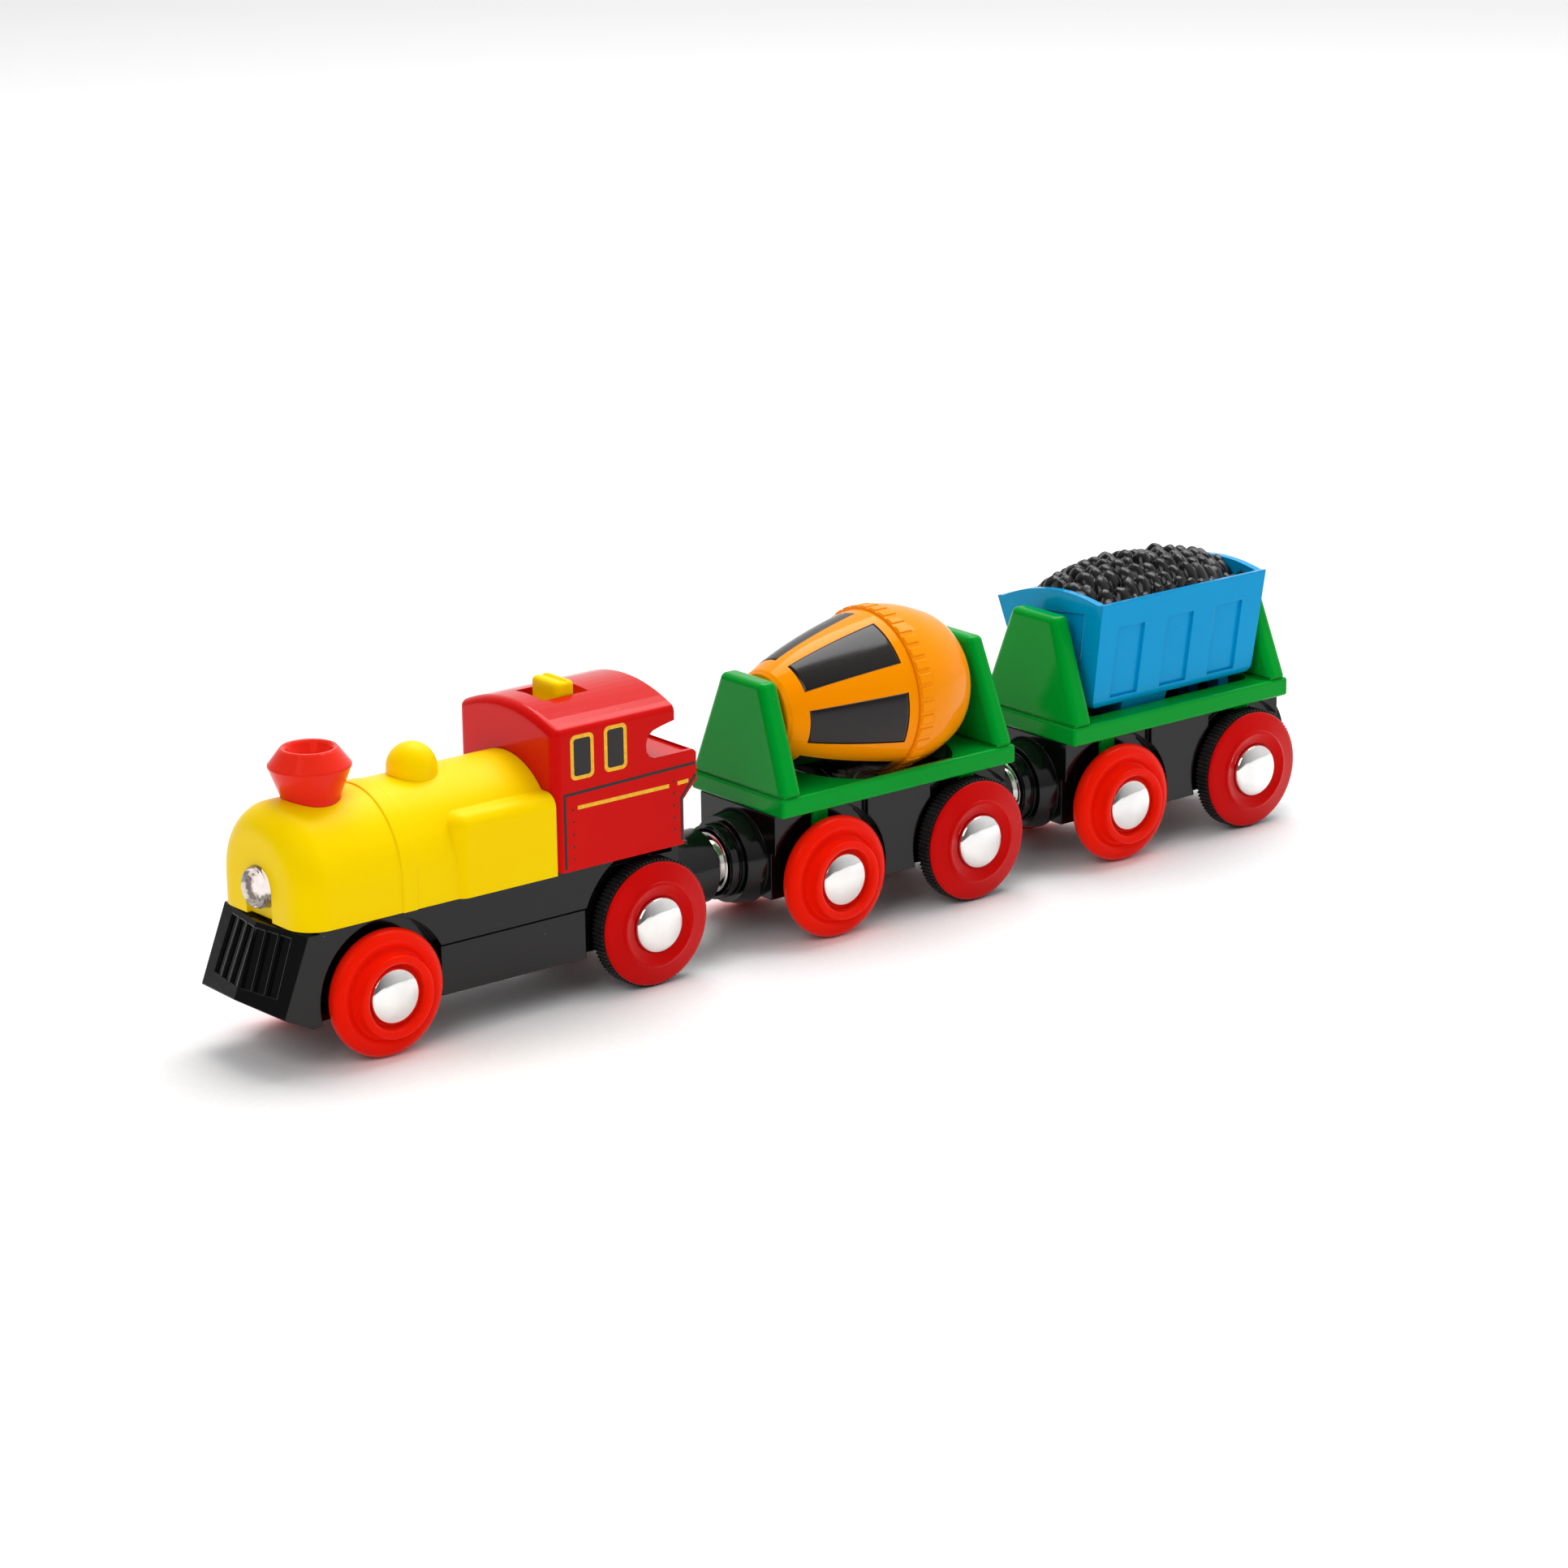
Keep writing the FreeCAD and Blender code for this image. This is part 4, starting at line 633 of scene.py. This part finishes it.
def wheel_sets():
    """Smooth wheels and caps for the six axles."""
    for vehicle, rear_x, front_x in (("loco", LOCO_X, LOCO_X + 53.9),
                                     ("mixer", MIXER_X - 31.33, MIXER_X),
                                     ("tipper", TIPPER_X - 31.33, TIPPER_X)):
        for end, x, z, wheel, seat, slot in (
            ("front", front_x, 10.8, FREE_WHEEL, 14.6, "wheel_red"),
            ("rear", rear_x, 11.05, DRIVE_WHEEL, 14.1, "dark_red"),
        ):
            body = vehicle + "_wheelset_" + end
            centre = Vector((x, 0, z))
            for kind, runs, finish in (("wheels", wheel, slot),
                                       ("caps", cap_outline(seat), "cap_steel")):
                turned_piece(vehicle + "_" + kind + "_" + end + "_turned",
                             vehicle + "_" + kind + "_" + end, body, finish,
                             [(runs, centre, TO_LEFT), (runs, centre, TO_RIGHT)])


def drum_shells():
    """Smooth shells of the drum; the rear one carries the raised pads of the toothed ring."""
    centre = Vector((MIXER_X, 0, DRUM_Z))
    front_x = 4.9
    steps = 45
    outside = [(drum_radius(SEAM + (front_x - SEAM) * k / steps),
                SEAM + (front_x - SEAM) * k / steps) for k in range(steps + 1)]
    inside = [(radius - 1.7, x) for radius, x in outside[3:-3:3]][::-1]
    front = [
        [(5.0, SEAM), (outside[0][0] - 0.15, SEAM)],
        softened([(outside[0][0] - 0.15, SEAM), (outside[0][0], SEAM + 0.15)] + outside[1:], 1),
        softened([outside[-1], (7.35, 5.3), (7.1, 5.6), (6.7, 5.7)]),
        [(6.7, 5.7), (1.56, 5.7)],
        [(1.56, 5.7), (1.56, 4.4)],
        [(1.56, 4.4), (6.2, 4.4)],
        [(6.2, 4.4)] + inside,
        [inside[-1], (5.0, SEAM + 1.6)],
        [(5.0, SEAM + 1.6), (5.0, SEAM)],
    ]
    turned_piece("drum_front_shell", "mixer_drum_front", "mixer_drum", "orange_plastic",
                 [(front, centre, TO_FRONT)])
    rear = [
        [(5.0, SEAM - 0.05), (14.7, SEAM - 0.05)],
        softened([(14.7, SEAM - 0.05), (14.78, SEAM - 0.2), (14.8, SEAM - 2.9),
                  (14.6, SEAM - 4.9), (14.1, SEAM - 7.4), (13.2, -27.9), (11.75, -31.1),
                  (9.8, -33.3), (7.5, -34.75), (5.4, -35.35), (3.5, -35.5)]),
        [(3.5, -35.5), (1.56, -35.5)],
        [(1.56, -35.5), (1.56, -34.3)],
        [(1.56, -34.3), (5.5, -34.3), (8.5, SEAM - 13.6), (11.3, SEAM - 10.0),
         (12.9, SEAM - 6.0), (12.8, SEAM - 1.5)],
        [(12.8, SEAM - 1.5), (5.0, SEAM - 1.5)],
        [(5.0, SEAM - 1.5), (5.0, SEAM - 0.05)],
    ]
    turned_piece("drum_rear_shell", "mixer_drum_rear", "mixer_drum", "orange_plastic",
                 [(rear, centre, TO_FRONT)])
    drum_pads()


def drum_pads():
    """Low rounded pads of the ring that the roller turns."""
    points, faces = [], []
    count = 38
    for number in range(count):
        middle = 2 * math.pi * number / count
        first = len(points)
        for lift, inset in ((14.4, 0.0), (14.9, 0.0), (15.02, 0.16)):
            reach = 0.83 - inset
            for x, y in ((SEAM - 3.0 + inset, -reach), (SEAM - 0.2 - inset, -reach),
                         (SEAM - 0.2 - inset, reach), (SEAM - 3.0 + inset, reach)):
                angle = middle + y / 14.9
                points.append(Vector((x + MIXER_X, lift * math.cos(angle),
                                      DRUM_Z + lift * math.sin(angle))) * MM)
        faces.append(tuple(first + k for k in (3, 2, 1, 0)))
        faces.append(tuple(first + 8 + k for k in range(4)))
        for level in (0, 4):
            for k in range(4):
                after = (k + 1) % 4
                faces.append((first + level + k, first + level + after,
                              first + level + 4 + after, first + level + 4 + k))
    pads = mesh_piece("drum_ring_pads", points, faces, FINISHES["orange_plastic"],
                      "mixer_drum", False)
    tidy_normals(pads)
    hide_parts("mixer_drum_rear")


def lump_points(seed):
    """Scattered coal lumps over the heap: place, height, half length, half width and turn."""
    chance = random.Random(seed)
    lumps = []
    row = 0
    y = -15.0
    while y < 15.5:
        x = -37.0 + (row % 2) * 1.4
        while x < 7.0:
            lumps.append((
                x + chance.uniform(-0.45, 0.45),
                y + chance.uniform(-0.5, 0.5),
                chance.uniform(-0.5, 0.3),
                chance.uniform(1.9, 2.35),
                chance.uniform(1.5, 1.8),
                chance.uniform(-0.45, 0.45),
            ))
            x += 2.8
        y += 3.1
        row += 1
    return lumps


def heap_height(x, y):
    """Smooth height of the coal heap; it stands lower against the rear wall."""
    along = (x + 15.2) / 19.0
    across = y / 12.9
    droop = 0.5 if along > 0 else 0.66
    fall = along * along * (droop + (1 - droop) * across * across) + across * across * 0.92
    return 45.4 + 6.2 * max(0.0, 1 - fall) ** 0.75


def lump_height(x, y, lumps):
    """Height of the rounded lumps above a point: the highest of the domes that cover it."""
    best = -1.5
    for lump in lumps:
        side, ahead = x - lump[0], y - lump[1]
        turn = lump[5]
        across = side * math.cos(turn) + ahead * math.sin(turn)
        along = ahead * math.cos(turn) - side * math.sin(turn)
        far = (across / lump[4]) ** 2 + (along / lump[3]) ** 2
        if far < 1:
            best = max(best, lump[2] + 2.5 * math.sqrt(1 - far) - 1.6)
    return best


def coal_heap():
    """One moulded sheet of coal lumps, lying in the bucket with its lean."""
    cells = {}
    for lump in lump_points(7):
        cells.setdefault((int(lump[0] // 3), int(lump[1] // 3)), []).append(lump)
    columns, rows = 240, 170
    x0, x1, half = -33.55, 3.2, 12.5
    points, faces = [], []
    for row in range(rows + 1):
        y = -half + 2 * half * row / rows
        for column in range(columns + 1):
            x = x0 + (x1 - x0) * column / columns
            close = []
            for i in (-1, 0, 1):
                for j in (-1, 0, 1):
                    close += cells.get((int(x // 3) + i, int(y // 3) + j), ())
            chip = noise.noise(Vector((x * 0.8, y * 0.8, 3.7))) * 0.22
            z = heap_height(x, y) + lump_height(x, y, close) + chip
            points.append((x, y, z))
    for row in range(rows):
        for column in range(columns):
            a = row * (columns + 1) + column
            faces.append((a, a + 1, a + columns + 2, a + columns + 1))
    skirt = close_below(points, faces, columns + 1, rows + 1, 41.5)
    turn = Matrix.Rotation(math.radians(6.8), 4, "X")
    pivot = Vector((0, 0, 34.0))
    placed = []
    for point in skirt:
        moved = turn @ (Vector(point) - pivot) + pivot
        placed.append((Vector((moved.x + TIPPER_X, moved.y, moved.z))) * MM)
    heap = mesh_piece("coal_heap", placed, faces, FINISHES["coal"], "tipper_body")
    tidy_normals(heap)
    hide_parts("tipper_load")


def close_below(points, faces, columns, rows, depth):
    """Adds a skirt and a flat base under a height field so that it is one closed solid."""
    rim = [column for column in range(columns)]
    rim += [row * columns + columns - 1 for row in range(1, rows)]
    rim += [(rows - 1) * columns + column for column in range(columns - 2, -1, -1)]
    rim += [row * columns for row in range(rows - 2, 0, -1)]
    whole = list(points)
    first = len(whole)
    for index in rim:
        x, y, z = points[index]
        whole.append((x, y * 0.93, depth))
    for index, start in enumerate(rim):
        after = (index + 1) % len(rim)
        faces.append((start, rim[after], first + after, first + index))
    faces.append(tuple(range(first, first + len(rim))))
    return whole


# ---------------------------------------------------------------- studio


def floor():
    data = bpy.data.meshes.new("studio_floor")
    reach = 30.0
    data.from_pydata(
        [(-reach, -reach, 0), (reach, -reach, 0), (reach, reach, 0), (-reach, reach, 0)],
        [], [(0, 1, 2, 3)],
    )
    data.materials.append(studio_floor())
    thing = bpy.data.objects.new("studio_floor", data)
    thing.location.z = -0.00005
    bpy.context.scene.collection.objects.link(thing)


def lamp(name, location, size, power, target=(0, 0, 0.02), colour=(1, 1, 1)):
    data = bpy.data.lights.new(name, "AREA")
    data.shape = "RECTANGLE"
    data.size, data.size_y = size
    data.energy = power
    data.color = colour
    thing = bpy.data.objects.new(name, data)
    thing.location = location
    aim = Vector(target) - Vector(location)
    thing.rotation_euler = aim.to_track_quat("-Z", "Y").to_euler()
    bpy.context.scene.collection.objects.link(thing)
    return thing


def world():
    """Room light: a white sweep behind the train, a dim room in front of it."""
    scene = bpy.context.scene
    scene.world = bpy.data.worlds.new("studio_room")
    scene.world.use_nodes = True
    tree = scene.world.node_tree
    back = tree.nodes["Background"]
    place = tree.nodes.new("ShaderNodeTexCoord")
    facing = tree.nodes.new("ShaderNodeVectorMath")
    facing.operation = "DOT_PRODUCT"
    facing.inputs[1].default_value = (-0.88, -0.20, 0.43)
    spread = tree.nodes.new("ShaderNodeMapRange")
    spread.interpolation_type = "SMOOTHSTEP"
    spread.inputs["From Min"].default_value = -0.45
    spread.inputs["From Max"].default_value = 0.8
    spread.inputs["To Min"].default_value = 0.14
    spread.inputs["To Max"].default_value = 0.88
    tree.links.new(place.outputs["Generated"], facing.inputs[0])
    tree.links.new(facing.outputs["Value"], spread.inputs["Value"])
    tree.links.new(spread.outputs["Result"], back.inputs["Strength"])
    back.inputs["Color"].default_value = (1.0, 1.0, 1.0, 1.0)


def camera():
    """Long lens from the front left, a little above the train."""
    azimuth, elevation, roll = (math.radians(a) for a in (141.454, 16.735, -0.767))
    right = Vector((math.cos(azimuth), math.sin(azimuth), 0))
    back = Vector((
        math.sin(azimuth) * math.cos(elevation),
        -math.cos(azimuth) * math.cos(elevation),
        math.sin(elevation),
    ))
    up = back.cross(right)
    turned_right = right * math.cos(roll) + up * math.sin(roll)
    turned_up = up * math.cos(roll) - right * math.sin(roll)
    data = bpy.data.cameras.new("camera")
    data.sensor_width = 36.0
    data.lens = 117.07
    data.clip_start = 0.02
    data.clip_end = 100.0
    thing = bpy.data.objects.new("camera", data)
    basis = Matrix((turned_right, turned_up, back)).transposed().to_4x4()
    thing.matrix_world = Matrix.Translation((0.52754, 0.66126, 0.27893)) @ basis
    bpy.context.scene.collection.objects.link(thing)
    bpy.context.scene.camera = thing


def studio():
    floor()
    world()
    camera()
    lamp("top_softbox", (-0.4, -0.28, 1.1), (1.0, 0.8), 12.0)
    lamp("front_fill", (0.9, 0.45, 0.8), (0.7, 0.7), 4.5)
    scene = bpy.context.scene
    scene.view_settings.view_transform = "Standard"
    scene.view_settings.look = "None"


finish_nodes()
wheel_sets()
cab_print()
drum_shells()
drum_print()
coal_heap()
studio()
